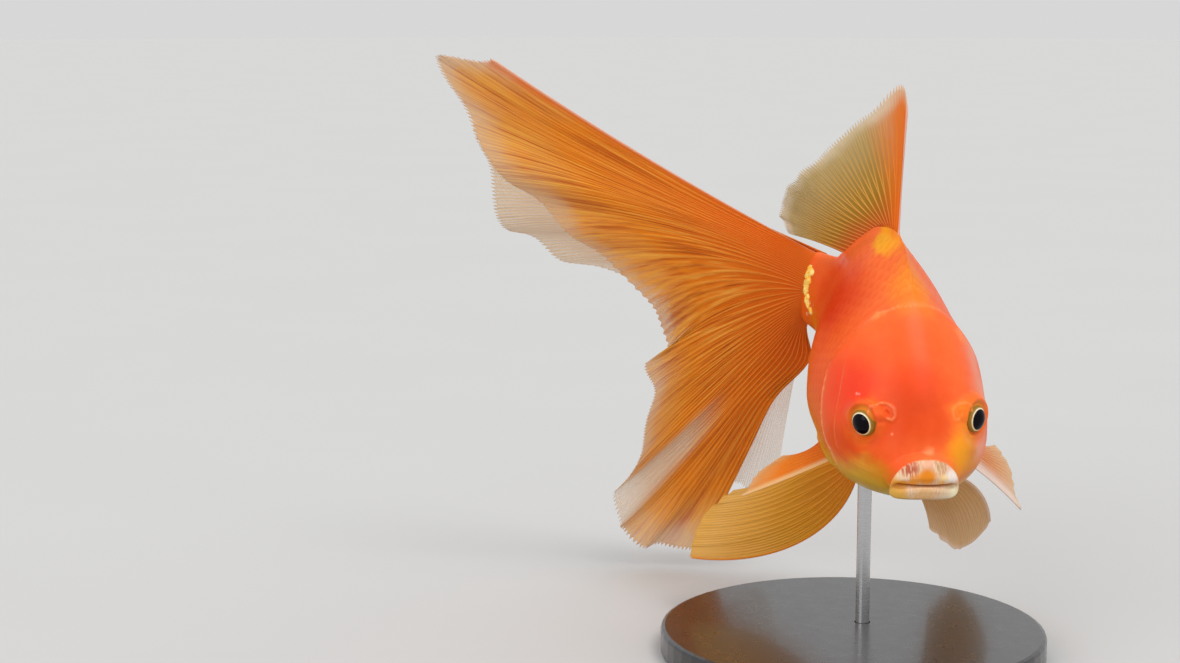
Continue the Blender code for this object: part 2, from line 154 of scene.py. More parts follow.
class BodyForm:
    """The body's shape, from the same named sections as its solids."""

    MOUTH_PLACE = (8.85, -40.0, 61.0)
    PITCH = math.radians(27.0)
    BACK = Curve(((0, 1.5), (4, 6.8), (12, 14.5), (22, 22), (34, 29), (46, 37), (56, 40.5),
                  (66, 36), (75, 26), (83, 15.5), (92, 12)))
    BELLY = Curve(((0, -6), (5, -12), (12, -18), (22, -24), (36, -28.5), (50, -29.5),
                   (62, -26.5), (74, -18.5), (83, -13.5), (92, -14)))
    WIDTH = Curve(((0, 7.4), (5, 12.7), (12, 17.8), (18, 20.8), (24, 22.6), (34, 23.3),
                   (44, 23.8), (56, 21.5), (68, 15.5), (80, 8.5), (92, 4)))
    LEVEL = Curve(((0, -2), (12, -4), (24, -5), (46, -5), (66, 0), (92, -1)))
    RIDGE = Curve(((0, 1), (8, 1), (24, 1.02), (31, 1), (35, 1.1), (41, 1.9), (50, 2.5),
                   (58, 2.5), (70, 2), (92, 1)))
    KEEL = Curve(((0, 0.92), (30, 0.92), (46, 1.15), (70, 1.1), (92, 1)))
    HEADING = Curve(((0, -3), (14, -3), (30, 0), (36, 0), (60, 11), (78, 24), (92, 32)))
    LENGTH = 98.0
    STEP = 0.5
    END = 91.6

    def __init__(self) -> None:
        """Lay the spine out along its headings."""
        stations = np.arange(0.0, self.LENGTH, self.STEP)
        turns = np.radians(self.HEADING(stations))
        steps = np.stack([-np.sin(turns), np.cos(turns)], axis=1) * self.STEP
        places = np.vstack([np.zeros(2), np.cumsum(steps, axis=0)[:-1]])
        self.stations, self.turns, self.places = stations, turns, places

    def spine(self, station: Array) -> tuple[Array, Array, Array]:
        """Spine x, y and heading at stations.

        Args:
            station: Distances from the mouth along the spine.

        Returns:
            The x, the y and the heading in radians.
        """
        return (np.interp(station, self.stations, self.places[:, 0]),
                np.interp(station, self.stations, self.places[:, 1]),
                np.interp(station, self.stations, self.turns))

    def point(self, station: Array | float, angle: Array | float,
              grow: Array | float = 0.0) -> Array:
        """Skin points, grown outward by a little.

        Args:
            station: Distance from the mouth along the spine.
            angle: Degrees round the body, 0 at the top and 90 on the left.
            grow: How far outward of the solid's surface.

        Returns:
            Points in the fish's frame, in a last axis of three.
        """
        station, angle, grow = np.broadcast_arrays(
            np.asarray(station, float), np.asarray(angle, float), np.asarray(grow, float))
        turn = np.radians(angle)
        up, out = np.cos(turn), np.sin(turn)
        level = self.LEVEL(station)
        above = level + (self.BACK(station) + grow - level) * up
        below = level + (level - self.BELLY(station) + grow) * up
        side = np.where(up > 0, np.abs(out) ** self.RIDGE(station),
                        np.abs(out) ** self.KEEL(station))
        offset = np.sign(out) * (self.WIDTH(station) + grow) * side
        x, y, heading = self.spine(station)
        return np.stack([x + offset * np.cos(heading), y + offset * np.sin(heading),
                         np.where(up > 0, above, below)], axis=-1)

    def normal(self, station: Array | float, angle: Array | float) -> Array:
        """Outward direction of the skin."""
        along = self.point(station + 0.5, angle) - self.point(station - 0.5, angle)
        around = self.point(station, angle + 1.0) - self.point(station, angle - 1.0)
        return unit(np.cross(around, along))

    def world(self, points: Array) -> Array:
        """Points of the fish's frame in the model's frame, in metres."""
        c, s = math.cos(self.PITCH), math.sin(self.PITCH)
        x, y, z = points[..., 0], points[..., 1], points[..., 2]
        turned = np.stack([x, y * c - z * s, y * s + z * c], axis=-1)
        return (turned + np.array(self.MOUTH_PLACE)) * MM


@dataclass(frozen=True)
class MouthRing:
    """One ring round the mouth: its reach, its heights and how far back its parts lie."""

    half_width: float
    top: float
    level: float
    bottom: float
    top_depth: float
    corner_depth: float
    bottom_depth: float
    flatness: float = 1.0
    ridge: float = 1.0
    fullness: float = 0.92
    droop: float = 0.0


class Mouth:
    """Lips and jaws as rings, from the back of the mouth to the head."""

    JOIN = 3.0
    SKIN_DEPTH = 0.3
    LEAN = 0.15
    RINGS = (
        MouthRing(0.0, -1.9, -1.95, -2.0, 1.6, 1.6, 1.6),
        MouthRing(4.8, -1.55, -1.95, -2.3, 0.9, 1.3, 0.9),
        MouthRing(6.6, -1.35, -1.95, -1.8, -1.8, 0.0, -1.6, 2.0, 1.0, 0.9, 0.4),
        MouthRing(7.8, -0.85, -1.9, -1.35, -3.0, -0.7, -3.1, 2.0, 1.0, 0.9, 0.9),
        MouthRing(8.5, -0.10, -1.85, -1.2, -3.9, -1.2, -4.1, 1.8, 1.0, 0.9, 1.5),
        MouthRing(9.0, 1.5, -2.7, -2.4, -3.85, -1.8, -4.6, 1.0, 0.95, 0.8, 1.4),
        MouthRing(9.35, 3.1, -3.7, -4.3, -2.6, -1.8, -4.5, 0.8, 0.9, 0.72, 1.2),
        MouthRing(9.35, 4.6, -4.2, -5.9, -1.0, -1.1, -3.3, 0.8, 0.88, 0.7, 1.0),
        MouthRing(8.6, 5.0, -4.0, -6.6, 0.8, 0.5, -1.2, 0.9, 0.86, 0.8, 0.6),
    )

    def __init__(self, form: BodyForm) -> None:
        """Add the head's own ring and draw each size as a curve over the rings."""
        s, d = self.JOIN, self.SKIN_DEPTH
        head = MouthRing(float(form.WIDTH(s)) - d, float(form.BACK(s)) - d,
                         float(form.LEVEL(s)), float(form.BELLY(s)) + d, s, s, s, 1.0,
                         float(form.RIDGE(s)), float(form.KEEL(s)))
        rings = self.RINGS + (head,)
        self.turn = math.radians(float(form.HEADING(0.0)))
        self.last = len(rings) - 1
        self.sizes = {name: Curve([(i, getattr(ring, name)) for i, ring in enumerate(rings)])
                      for name in MouthRing.__dataclass_fields__}

    def point(self, ring: Array | float, angle: Array | float) -> Array:
        """Points of the lips and jaws.

        Args:
            ring: Which ring, 0 at the back of the mouth, with shares between.
            angle: Degrees round the mouth, 0 at the top and 90 on the left.

        Returns:
            Points in the fish's frame.
        """
        ring, angle = np.broadcast_arrays(np.asarray(ring, float), np.asarray(angle, float))
        size = {name: curve(ring) for name, curve in self.sizes.items()}
        turn = np.radians(angle)
        up, out = np.cos(turn), np.sin(turn)
        lift = np.abs(up) ** size["flatness"]
        above = size["level"] + (size["top"] - size["level"]) * lift
        below = (size["level"] + (size["bottom"] - size["level"]) * np.abs(up)
                 - size["droop"] * 4 * np.abs(up) * (1 - np.abs(up)))
        side = np.where(up > 0, np.abs(out) ** size["ridge"], np.abs(out) ** size["fullness"])
        x = np.sign(out) * size["half_width"] * side
        end = np.where(up > 0, size["top_depth"], size["bottom_depth"])
        y = size["corner_depth"] + (end - size["corner_depth"]) * up * up
        x = x + self.LEAN * np.minimum(y, 0.0)
        c, s = math.cos(self.turn), math.sin(self.turn)
        return np.stack([x * c - y * s, x * s + y * c, np.where(up > 0, above, below)], axis=-1)


def distance_to(points: Array, path: Array, reach: float) -> Array:
    """Distance from points to a path, exact near it and large elsewhere.

    Args:
        points: Points to measure from.
        path: Close points along the path.
        reach: How near a point is worth measuring.

    Returns:
        One distance for each point.
    """
    flat = points.reshape(-1, 3)
    low, high = path.min(axis=0) - reach, path.max(axis=0) + reach
    near = np.nonzero(np.all((flat > low) & (flat < high), axis=1))[0]
    found = np.full(len(flat), 1e6)
    if len(near):
        gaps = flat[near][:, None, :] - path[None, :, :]
        found[near] = np.sqrt((gaps ** 2).sum(axis=-1).min(axis=1))
    return found.reshape(points.shape[:-1])


# ---------------------------------------------------------------------------- mesh help


def take(*pieces: bpy.types.Object) -> None:
    """Select these pieces alone and nothing of the loaded nodes, the first piece active."""
    bpy.ops.object.select_all(action="DESELECT")
    for piece in pieces:
        piece.select_set(True)
    if pieces:
        bpy.context.view_layer.objects.active = pieces[0]


def primitive(add: Callable[..., Any], **sizes: Any) -> bpy.types.Object:
    """A new primitive with nothing else selected."""
    take()
    add(**sizes)
    return bpy.context.object


def coordinates(piece: bpy.types.Object) -> Array:
    """The piece's vertices as an array."""
    found = np.empty(len(piece.data.vertices) * 3, dtype=np.float32)
    piece.data.vertices.foreach_get("co", found)
    return found.reshape(-1, 3).astype(float)


def set_coordinates(piece: bpy.types.Object, points: Array) -> None:
    """Move every vertex of a piece."""
    piece.data.vertices.foreach_set("co", points.astype(np.float32).ravel())
    piece.data.update()


def set_attributes(piece: bpy.types.Object, **numbers: Array) -> None:
    """Give each vertex the numbers that the finishes read, by attribute name."""
    for name, values in numbers.items():
        made = piece.data.attributes.new(name, "FLOAT", "POINT")
        made.data.foreach_set("value", values.astype(np.float32).ravel())


def make_faces_outward(piece: bpy.types.Object) -> None:
    """Recalculate a closed piece's normals."""
    take(piece)
    bpy.ops.object.mode_set(mode="EDIT")
    bpy.ops.mesh.select_all(action="SELECT")
    bpy.ops.mesh.normals_make_consistent(inside=False)
    bpy.ops.object.mode_set(mode="OBJECT")


def adopt(piece: bpy.types.Object, name: str, finish: bpy.types.Material,
          nodes: Sequence[str] = ()) -> bpy.types.Object:
    """Name, shade and dress a piece and tie it to the frame.

    Args:
        piece: The finished piece.
        name: Its name.
        finish: Its material.
        nodes: CAD nodes that it stands for.

    Returns:
        The same piece.
    """
    piece.name = piece.data.name = name
    piece.data.shade_smooth()
    piece.data.materials.clear()
    piece.data.materials.append(finish)
    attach(piece, BODY)
    if nodes:
        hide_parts(*nodes)
    piece.select_set(False)
    LOG.info("%s: %d vertices", name, len(piece.data.vertices))
    return piece


# ---------------------------------------------------------------------------- shader help


class Graph:
    """A node tree with short ways to add what the finishes use."""

    def __init__(self, tree: bpy.types.NodeTree) -> None:
        """Take hold of a tree."""
        self.tree = tree

    def feed(self, socket: bpy.types.NodeSocket, value: Any) -> None:
        """Link a socket or set its value."""
        if isinstance(value, bpy.types.NodeSocket):
            self.tree.links.new(value, socket)
        elif isinstance(value, np.ndarray):
            socket.default_value = tuple(float(number) for number in value)
        elif isinstance(value, tuple) and socket.type == "RGBA":
            socket.default_value = (*value, 1.0)[:4]
        else:
            socket.default_value = value

    def dress(self, node: bpy.types.Node, inputs: dict[Any, Any]) -> None:
        """Feed a node's inputs by name or number."""
        for key, value in inputs.items():
            self.feed(node.inputs[key], value)

    def node(self, kind: str, inputs: dict[Any, Any] | None = None,
             **settings: Any) -> bpy.types.Node:
        """A node with its settings and inputs.

        Args:
            kind: The node's type.
            inputs: Values or sockets by input name or number.
            settings: Properties of the node.

        Returns:
            The node.
        """
        made = self.tree.nodes.new(kind)
        for name, value in settings.items():
            setattr(made, name, value)
        self.dress(made, inputs or {})
        return made

    def math(self, operation: str, *values: Any) -> bpy.types.NodeSocket:
        """The result of a Math node."""
        return self.node("ShaderNodeMath", dict(enumerate(values)),
                         operation=operation).outputs[0]

    def times(self, first: Any, second: Any) -> bpy.types.NodeSocket:
        """The product of two values."""
        return self.math("MULTIPLY", first, second)

    def scaled(self, value: Any, factor: Any, start: Any) -> bpy.types.NodeSocket:
        """A value times a factor, added to a start."""
        return self.math("MULTIPLY_ADD", value, factor, start)

    def vector(self, operation: str, first: Any, second: Any) -> bpy.types.NodeSocket:
        """The result of a Vector Math node, which is a number for a distance."""
        made = self.node("ShaderNodeVectorMath", {0: first, 1: second}, operation=operation)
        return made.outputs["Value" if operation == "DISTANCE" else "Vector"]

    def flat(self, x: Any, y: Any) -> bpy.types.NodeSocket:
        """A vector of two values."""
        return self.node("ShaderNodeCombineXYZ", {"X": x, "Y": y}).outputs[0]

    def step(self, value: Any, low: Any, high: Any, start: Any = 0.0,
             end: Any = 1.0) -> bpy.types.NodeSocket:
        """A smooth step of a value between two limits."""
        made = self.node("ShaderNodeMapRange", {
            "Value": value, "From Min": low, "From Max": high, "To Min": start,
            "To Max": end}, interpolation_type="SMOOTHSTEP")
        return made.outputs["Result"]

    def mix(self, share: Any, first: Any, second: Any,
            blend: str = "MIX") -> bpy.types.NodeSocket:
        """A mix of two colours."""
        return self.node("ShaderNodeMix", {0: share, 6: first, 7: second}, data_type="RGBA",
                         blend_type=blend, clamp_factor=True).outputs[2]

    def tint(self, share: Any, colour: Any, by: Colour) -> bpy.types.NodeSocket:
        """A colour multiplied by another where a share says so."""
        return self.mix(share, colour, self.mix(1.0, colour, by, "MULTIPLY"))

    def ramp(self, value: Any, stops: Sequence[tuple[float, Colour]]) -> bpy.types.NodeSocket:
        """A colour ramp of a value."""
        made = self.node("ShaderNodeValToRGB", {"Fac": value})
        elements = made.color_ramp.elements
        while len(elements) < len(stops):
            elements.new(0.5)
        for element, (place, colour) in zip(elements, stops):
            element.position = place
            element.color = (*colour, 1.0)
        return made.outputs["Color"]

    def noise(self, vector: Any, scale: float, detail: float = 2.0, roughness: float = 0.5,
              output: str = "Fac") -> bpy.types.NodeSocket:
        """A noise value, or a noise colour, over a vector."""
        made = self.node("ShaderNodeTexNoise", {"Vector": vector, "Scale": scale,
                                                "Detail": detail, "Roughness": roughness})
        return made.outputs[output]

    def bump(self, height: Any, distance: float, strength: float) -> bpy.types.NodeSocket:
        """A normal turned by a height over a distance in metres."""
        return self.node("ShaderNodeBump", {"Height": height, "Distance": distance,
                                            "Strength": strength}).outputs["Normal"]

    def attribute(self, name: str) -> bpy.types.NodeSocket:
        """A number that the mesh carries."""
        return self.node("ShaderNodeAttribute", attribute_name=name).outputs["Fac"]

    def objects(self, scale: tuple[float, float, float] | None = None) -> bpy.types.NodeSocket:
        """Object coordinates in metres, or stretched by a scale."""
        place = self.node("ShaderNodeTexCoord").outputs["Object"]
        if scale is None:
            return place
        return self.node("ShaderNodeMapping", {"Vector": place, "Scale": scale}).outputs[0]

    def group(self, kind: bpy.types.NodeTree,
              inputs: dict[str, Any]) -> bpy.types.bpy_prop_collection:
        """The outputs of a node group with its inputs."""
        return self.node("ShaderNodeGroup", inputs, node_tree=kind).outputs


def new_group(name: str, inputs: dict[str, str],
              outputs: dict[str, str]) -> tuple[bpy.types.NodeTree, Graph, Any, Any]:
    """An empty shader node group with named sockets.

    Args:
        name: The group's name.
        inputs: Socket types by input name.
        outputs: Socket types by output name.

    Returns:
        The group, its graph, its input node's outputs and its output node's inputs.
    """
    tree = bpy.data.node_groups.new(name, "ShaderNodeTree")
    for sockets, way in ((inputs, "INPUT"), (outputs, "OUTPUT")):
        for label, kind in sockets.items():
            tree.interface.new_socket(label, in_out=way, socket_type=kind)
    graph = Graph(tree)
    entry = graph.node("NodeGroupInput").outputs
    leave = graph.node("NodeGroupOutput").inputs
    return tree, graph, entry, leave


def new_material(name: str) -> tuple[bpy.types.Material, Graph, bpy.types.Node]:
    """A material with a Principled shader."""
    made = bpy.data.materials.new(name)
    made.use_nodes = True
    return made, Graph(made.node_tree), made.node_tree.nodes["Principled BSDF"]


FLOAT, VECTOR, COLOUR = "NodeSocketFloat", "NodeSocketVector", "NodeSocketColor"


# ---------------------------------------------------------------------------- markings


@dataclass(frozen=True)
class Marking:
    """A soft spot of colour at an angle, on a station of the body or a ring of the lips."""

    row: float
    angle: float
    radius: float
    colour: Colour
    strength: float
    softness: float


def markings(softness: float, *rows: tuple[Any, ...]) -> tuple[Marking, ...]:
    """Markings from rows of their values, with one softness where a row gives none."""
    return tuple(Marking(*row) if len(row) == 6 else Marking(*row, softness) for row in rows)


SCARLET: Colour = (0.90, 0.115, 0.022)
TANGERINE: Colour = (0.93, 0.165, 0.035)
BLOOD: Colour = (0.80, 0.040, 0.014)
EMBER: Colour = (0.62, 0.060, 0.003)
GOLD: Colour = (0.66, 0.22, 0.005)
YELLOW: Colour = (0.95, 0.34, 0.010)
OLIVE: Colour = (0.30, 0.17, 0.018)
PEARL: Colour = (0.78, 0.56, 0.38)
# painted sheen: pale pink reflection colour for the left side
PAINTED_PINK_SHEEN: Colour = (0.80, 0.36, 0.24)

# Body colours: real markings, with painted light among them where noted.
BODY_MARKS_AND_PAINTED_LIGHT = markings(
    0.8,
    (17, -10, 10, (0.78, 0.050, 0.006), 0.88),
    # deeper red on the snout and lower face: partly the fish's own red, partly painted shade
    (9.5, -14, 8, (0.62, 0.046, 0.002), 0.85),
    (6.8, -34, 5.5, (0.70, 0.055, 0.003), 0.6),
    (7.5, 10, 4.5, (0.74, 0.060, 0.004), 0.5),
    (28, -6, 9, (0.88, 0.095, 0.012), 0.75),
    (26, -56, 8.5, (0.84, 0.050, 0.016), 0.8),
    (22, -50, 5, (0.82, 0.042, 0.016), 0.7),
    (29, 50, 6, BLOOD, 0.2),
    (12, -80, 7, (0.66, 0.060, 0.002), 0.85),
    (19, -90, 6.5, EMBER, 0.6),
    (6.5, -104, 5.0, GOLD, 0.8),
    (8.5, -122, 6.0, (0.70, 0.40, 0.045), 0.85),
    (16, -124, 5.5, (0.72, 0.40, 0.05), 0.7),
    (3.5, -88, 3.2, GOLD, 0.5),
    (4.5, 62, 5.2, (0.84, 0.32, 0.008), 0.9),
    (8, 48, 4.2, YELLOW, 0.55),
    (12.5, 34, 3.2, (0.90, 0.20, 0.010), 0.5),
    (13.6, 30, 2.2, (0.90, 0.24, 0.012), 0.4),
    (8, 84, 5, GOLD, 0.8),
    # painted sheen: pale pink reflection on the left cheek and flank
    (24, 60, 6.5, PAINTED_PINK_SHEEN, 0.55),
    (31, 48, 5, PAINTED_PINK_SHEEN, 0.5),
    (13, 80, 4, PAINTED_PINK_SHEEN, 0.6),
    (41, 5, 6.5, (0.94, 0.24, 0.016), 0.8),
    (62, -20, 3.6, YELLOW, 0.95, 0.6),
    (59, -24, 3.2, YELLOW, 0.9, 0.7),
    (55, -20, 2.8, YELLOW, 0.7, 0.8),
    # painted highlight: pale gleam spots at the top of the right gill rim
    (37.4, -34, 1.6, (0.98, 0.32, 0.075), 0.6, 0.7),
    (36.6, -26, 1.2, (0.98, 0.30, 0.065), 0.35, 0.7),
    (33, 36, 2.2, (0.98, 0.34, 0.10), 0.35, 0.7),
    # the flank's red, darkened by painted shade in the hollow before the tail stalk
    (59, -62, 10, (0.62, 0.026, 0.003), 0.9),
    (76, -58, 8, (0.72, 0.040, 0.004), 0.85),
    (84, 60, 8, EMBER, 0.6),
    (88, -84, 4.5, (0.88, 0.13, 0.008), 0.8),
    (90, -125, 8, (0.84, 0.10, 0.005), 0.95),
    (90, 125, 8, (0.84, 0.10, 0.005), 0.95),
    (88, 178, 8, (0.84, 0.13, 0.008), 0.9),
    (2.9, 1, 1.2, (0.97, 0.33, 0.13), 0.6),
    (20.8, -51, 0.45, (0.97, 0.30, 0.22), 0.9, 0.5),
    (20.2, -49.5, 0.40, (0.97, 0.30, 0.22), 0.8, 0.5),
    (17.2, -46, 0.35, (0.97, 0.34, 0.20), 0.8, 0.5),
    (7.6, -37, 0.4, (0.97, 0.28, 0.12), 0.7, 0.5),
    (86.5, -92, 0.5, (0.95, 0.45, 0.30), 0.9, 0.5),
    (85.2, -96, 0.4, (0.95, 0.45, 0.30), 0.9, 0.5),
    (84.0, -88, 0.35, (0.95, 0.42, 0.26), 0.8, 0.5),
    (88.5, -118, 0.6, (0.95, 0.45, 0.30), 0.9, 0.5),
    (87.4, -112, 0.4, (0.95, 0.45, 0.30), 0.8, 0.5),
)

LIP_MARKS_AND_HIGHLIGHT = markings(
    0.6,
    (7.0, 0, 1.7, (0.76, 0.37, 0.24), 0.8),
    # painted highlight at the top of the upper lip's arch
    (7.9, 0, 0.8, (0.90, 0.36, 0.15), 0.8),
    (6.9, -24, 1.7, (0.55, 0.14, 0.07), 0.65),
    (6.6, -38, 1.5, (0.66, 0.26, 0.13), 0.5),
    (7.1, 20, 1.2, (0.50, 0.26, 0.12), 0.55),
    (6.6, 38, 1.8, (0.72, 0.42, 0.28), 0.6),
    (5.6, -52, 2.0, (0.78, 0.54, 0.34), 0.8),
    (5.7, 46, 2.0, (0.86, 0.74, 0.68), 0.95),
    (5.2, 30, 1.2, (0.92, 0.62, 0.26), 0.7),
    (5.3, 0, 2.3, (0.70, 0.21, 0.004), 0.97, 0.45),
    (5.0, -18, 1.5, (0.72, 0.22, 0.008), 0.8, 0.6),
    (4.2, -26, 1.2, (0.84, 0.28, 0.015), 0.85, 0.5),
    (4.2, -44, 1.2, (0.84, 0.28, 0.015), 0.9, 0.5),
    (4.2, -60, 1.2, (0.84, 0.28, 0.015), 0.9, 0.5),
    (4.2, 28, 1.0, (0.88, 0.38, 0.06), 0.7, 0.5),
    (4.2, 50, 0.8, (0.90, 0.46, 0.14), 0.6, 0.5),
    (4.3, -80, 2.2, (0.76, 0.29, 0.02), 0.8),
    (4.2, -120, 2.4, (0.76, 0.29, 0.02), 0.7),
    (5.4, -125, 2.8, (0.78, 0.38, 0.09), 0.85),
    (6.6, -140, 3.0, (0.62, 0.34, 0.05), 0.8),
    (5.6, 180, 2.6, (0.76, 0.42, 0.16), 0.7),
    (6.3, 140, 3.2, (0.72, 0.57, 0.38), 0.9),
    (6.0, 105, 2.4, (0.86, 0.74, 0.50), 0.9),
)


LIP_FURROWS = markings(
    0.6,
    (6.8, -30, 2.4, (0.42, 0.075, 0.035), 0.85, 0.5),
    (6.9, 20, 2.0, (0.44, 0.22, 0.10), 0.6, 0.5),
)


def spot_group() -> bpy.types.NodeTree:
    """A soft round mask about a centre, shared by every finish with markings."""
    tree, g, entry, leave = new_group(
        "soft_spot", {"Place": VECTOR, "Centre": VECTOR, "Radius": FLOAT, "Softness": FLOAT,
                      "Strength": FLOAT}, {"Mask": FLOAT})
    spread = g.times(entry["Radius"], entry["Softness"])
    mask = g.step(g.vector("DISTANCE", entry["Place"], entry["Centre"]),
                  g.math("SUBTRACT", entry["Radius"], spread),
                  g.math("ADD", entry["Radius"], spread), 1.0, 0.0)
    g.feed(leave["Mask"], g.times(mask, entry["Strength"]))
    return tree


@dataclass(frozen=True)
class Spots:
    """Lays soft spots of colour on a finish."""

    kind: bpy.types.NodeTree = field(default_factory=spot_group)

    def lay(self, g: Graph, place: Any, centre: Array, mark: Marking, under: Any,
            colour: Any = None) -> bpy.types.NodeSocket:
        """One marking over what is under it.

        Args:
            g: The finish's graph.
            place: Where a point lies.
            centre: Where the marking lies.
            mark: The marking.
            under: The colour under it.
            colour: What to lay instead of the marking's own colour.

        Returns:
            The colour with the marking on it.
        """
        mask = g.group(self.kind, {
            "Place": place, "Centre": centre, "Radius": mark.radius * MM,
            "Softness": mark.softness, "Strength": mark.strength})["Mask"]
        return g.mix(mask, under, mark.colour if colour is None else colour)


FLANK = ((0.0, TANGERINE), (0.28, SCARLET), (0.44, (0.84, 0.09, 0.010)),
         (0.54, (0.76, 0.13, 0.004)), (0.63, (0.74, 0.27, 0.008)), (0.74, (0.74, 0.42, 0.05)),
         (0.88, (0.76, 0.52, 0.14)), (1.0, (0.80, 0.60, 0.24)))
EYE_HALO = Marking(0, 0, 6.4, (0.86, 0.19, 0.010), 0.45, 0.30)
EYE_LID = Marking(0, 0, 4.8, (0.60, 0.25, 0.010), 0.5, 0.18)
EYE_RING = Marking(0, 0, 4.12, OLIVE, 0.75, 0.08)


@dataclass
class Palette:
    """The markings and painted light that skin and scales share, as one node group."""

    form: BodyForm
    mouth: Mouth
    eye_centres: Sequence[Array]
    spots: Spots = field(default_factory=Spots)
    wander_scale: float = 130.0
    wander: float = 0.009
    sway_scale: float = 60.0
    sway: float = 0.12
    cell_scale: float = 420.0
    pore_scale: float = 2600.0
    streak_scale: float = 2600.0
    speck: float = 1.0
    lid_rise: float = 0.0009
    # pale rim colour: partly the skin's paler edge, partly a painted highlight
    rim: Colour = (0.98, 0.46, 0.20)
    inside: Colour = (0.66, 0.24, 0.08)
    lip: Colour = (0.68, 0.38, 0.20)
    cell_gold: Colour = (1.0, 1.5, 1.6)
    edge_gold: Colour = (1.0, 1.40, 1.6)
    root_shade: Colour = (0.86, 0.71, 0.68)

    def build(self) -> bpy.types.NodeTree:
        """The group of markings and painted light.

        Returns:
            A group that puts out Color, Rough and Relief.
        """
        tree, g, _, leave = new_group("goldfish_markings", {}, {
            "Color": COLOUR, "Rough": FLOAT, "Relief": FLOAT})
        place = g.objects()
        ragged = g.math("SUBTRACT", g.noise(place, 1500.0, 3.0), 0.5)
        lip = g.step(g.scaled(ragged, 0.9, g.attribute("lip")), 0.22, 0.78)
        colour = g.mix(lip, self.body(g, place), self.lips(g, place))
        broken = g.scaled(g.step(g.noise(place, 900.0, 2.0), 0.3, 0.75), 0.6, 0.4)
        # pale line along the gill, cheek and nostril rims, partly a painted highlight
        colour = g.mix(g.times(g.attribute("rim"), broken), colour, self.rim)
        colour = g.mix(g.attribute("inner"), colour, self.inside)
        colour = self.scale_ends(g, colour)
        cells = g.noise(place, self.cell_scale, 4.0, 0.6)
        colour = g.tint(g.times(g.step(cells, 0.35, 0.75), 0.16), colour, self.cell_gold)
        pores = g.noise(place, self.pore_scale, 3.0, 0.6)
        g.feed(leave["Color"], colour)
        g.feed(leave["Rough"], g.scaled(cells, 0.16, 0.30))
        g.feed(leave["Relief"], g.math("ADD", g.times(cells, 0.6), g.times(pores, 0.4)))
        return tree

    def body(self, g: Graph, place: Any) -> bpy.types.NodeSocket:
        """Colour of body and head: from back to belly, with the markings, painted light and the
        eyes' rings.
        """
        drift = g.noise(place, self.wander_scale, 5.0, output="Color")
        drift = g.vector("SUBTRACT", drift, (0.5,) * 3)
        moved = g.vector("ADD", place, g.vector("MULTIPLY", drift, (self.wander,) * 3))
        sway = g.times(g.math("SUBTRACT", g.noise(place, self.sway_scale, 3.0), 0.5), self.sway)
        colour = g.ramp(g.math("ADD", g.attribute("turn"), sway), FLANK)
        for mark in BODY_MARKS_AND_PAINTED_LIGHT:
            centre = self.form.world(self.form.point(mark.row, mark.angle))
            colour = self.spots.lay(g, place if mark.radius < self.speck else moved, centre,
                                    mark, colour)
        above = np.array([0.0, 0.0, self.lid_rise])
        for centre in self.eye_centres:
            colour = self.spots.lay(g, moved, centre, EYE_HALO, colour)
            colour = self.spots.lay(g, place, centre + above, EYE_LID, colour)
            colour = self.spots.lay(g, place, centre, EYE_RING, colour)
        return colour

    def lips(self, g: Graph, place: Any) -> bpy.types.NodeSocket:
        """Colour of the jaws and lips."""
        streaks = g.noise(g.objects((1.0, 0.18, 0.18)), self.streak_scale, 2.0)
        colour = g.mix(g.step(streaks, 0.35, 0.7), self.lip, PEARL)
        for mark in LIP_MARKS_AND_HIGHLIGHT + LIP_FURROWS:
            centre = self.form.world(self.mouth.point(mark.row, mark.angle))
            furrows = (g.mix(g.step(streaks, 0.44, 0.56), mark.colour, colour)
                       if mark in LIP_FURROWS else None)
            colour = self.spots.lay(g, place, centre, mark, colour, furrows)
        return colour

    def scale_ends(self, g: Graph, colour: Any) -> bpy.types.NodeSocket:
        """A pale line at the scales' tips, and painted shade where the next scale covers them."""
        tip = g.attribute("tip")
        edge = g.times(g.step(tip, 0.70, 0.97), 0.35)
        # painted shade: darker near each scale's root, where the scale before it overlaps
        shade = g.times(g.step(tip, 0.0, 0.1), g.step(tip, 0.45, 0.72, 0.42, 0.0))
        return g.tint(shade, g.tint(edge, colour, self.edge_gold), self.root_shade)


@dataclass(frozen=True)
class SkinFinish:
    """A wet, faintly see-through skin with the shared markings and painted light."""

    name: str
    bump: float
    wetness: float
    bump_strength: float = 0.8
    wet_roughness: float = 0.22
    gloss: float = 0.12
    depth_weight: float = 0.12
    depth: float = 0.0015
    depth_colour: Colour = (1.0, 0.35, 0.12)

    def material(self, marks_and_painted_light: bpy.types.NodeTree) -> bpy.types.Material:
        """The skin's material, with the group of markings and painted light."""
        made, g, shader = new_material(self.name)
        shown = g.group(marks_and_painted_light, {})
        g.dress(shader, {
            "Base Color": shown["Color"], "Roughness": shown["Rough"],
            "Normal": g.bump(shown["Relief"], self.bump, self.bump_strength),
            "Subsurface Weight": self.depth_weight, "Subsurface Radius": self.depth_colour,
            "Subsurface Scale": self.depth, "Coat Weight": self.wetness,
            "Coat Roughness": self.wet_roughness, "Specular IOR Level": self.gloss})
        return made


# ---------------------------------------------------------------------------- skin


@dataclass(frozen=True)
class Crease:
    """A raised edge along a line round the body, with a groove behind it, in millimetres."""

    height: float
    start: float
    reach: float
    groove: float
    groove_at: float
    groove_width: float

    def over(self, behind: Array) -> Array:
        """Heights at distances behind the line."""
        return (self.height * smooth(-behind, -self.start, 0.6)
                * bell(np.minimum(behind, 0), self.reach)
                - self.groove * bell(behind - self.groove_at, self.groove_width))


@dataclass(frozen=True)
class Fold:
    """A fold, or a pit where its height is below zero, along a line of stations and angles."""

    path: tuple[tuple[float, float], ...]
    height: float
    width: float


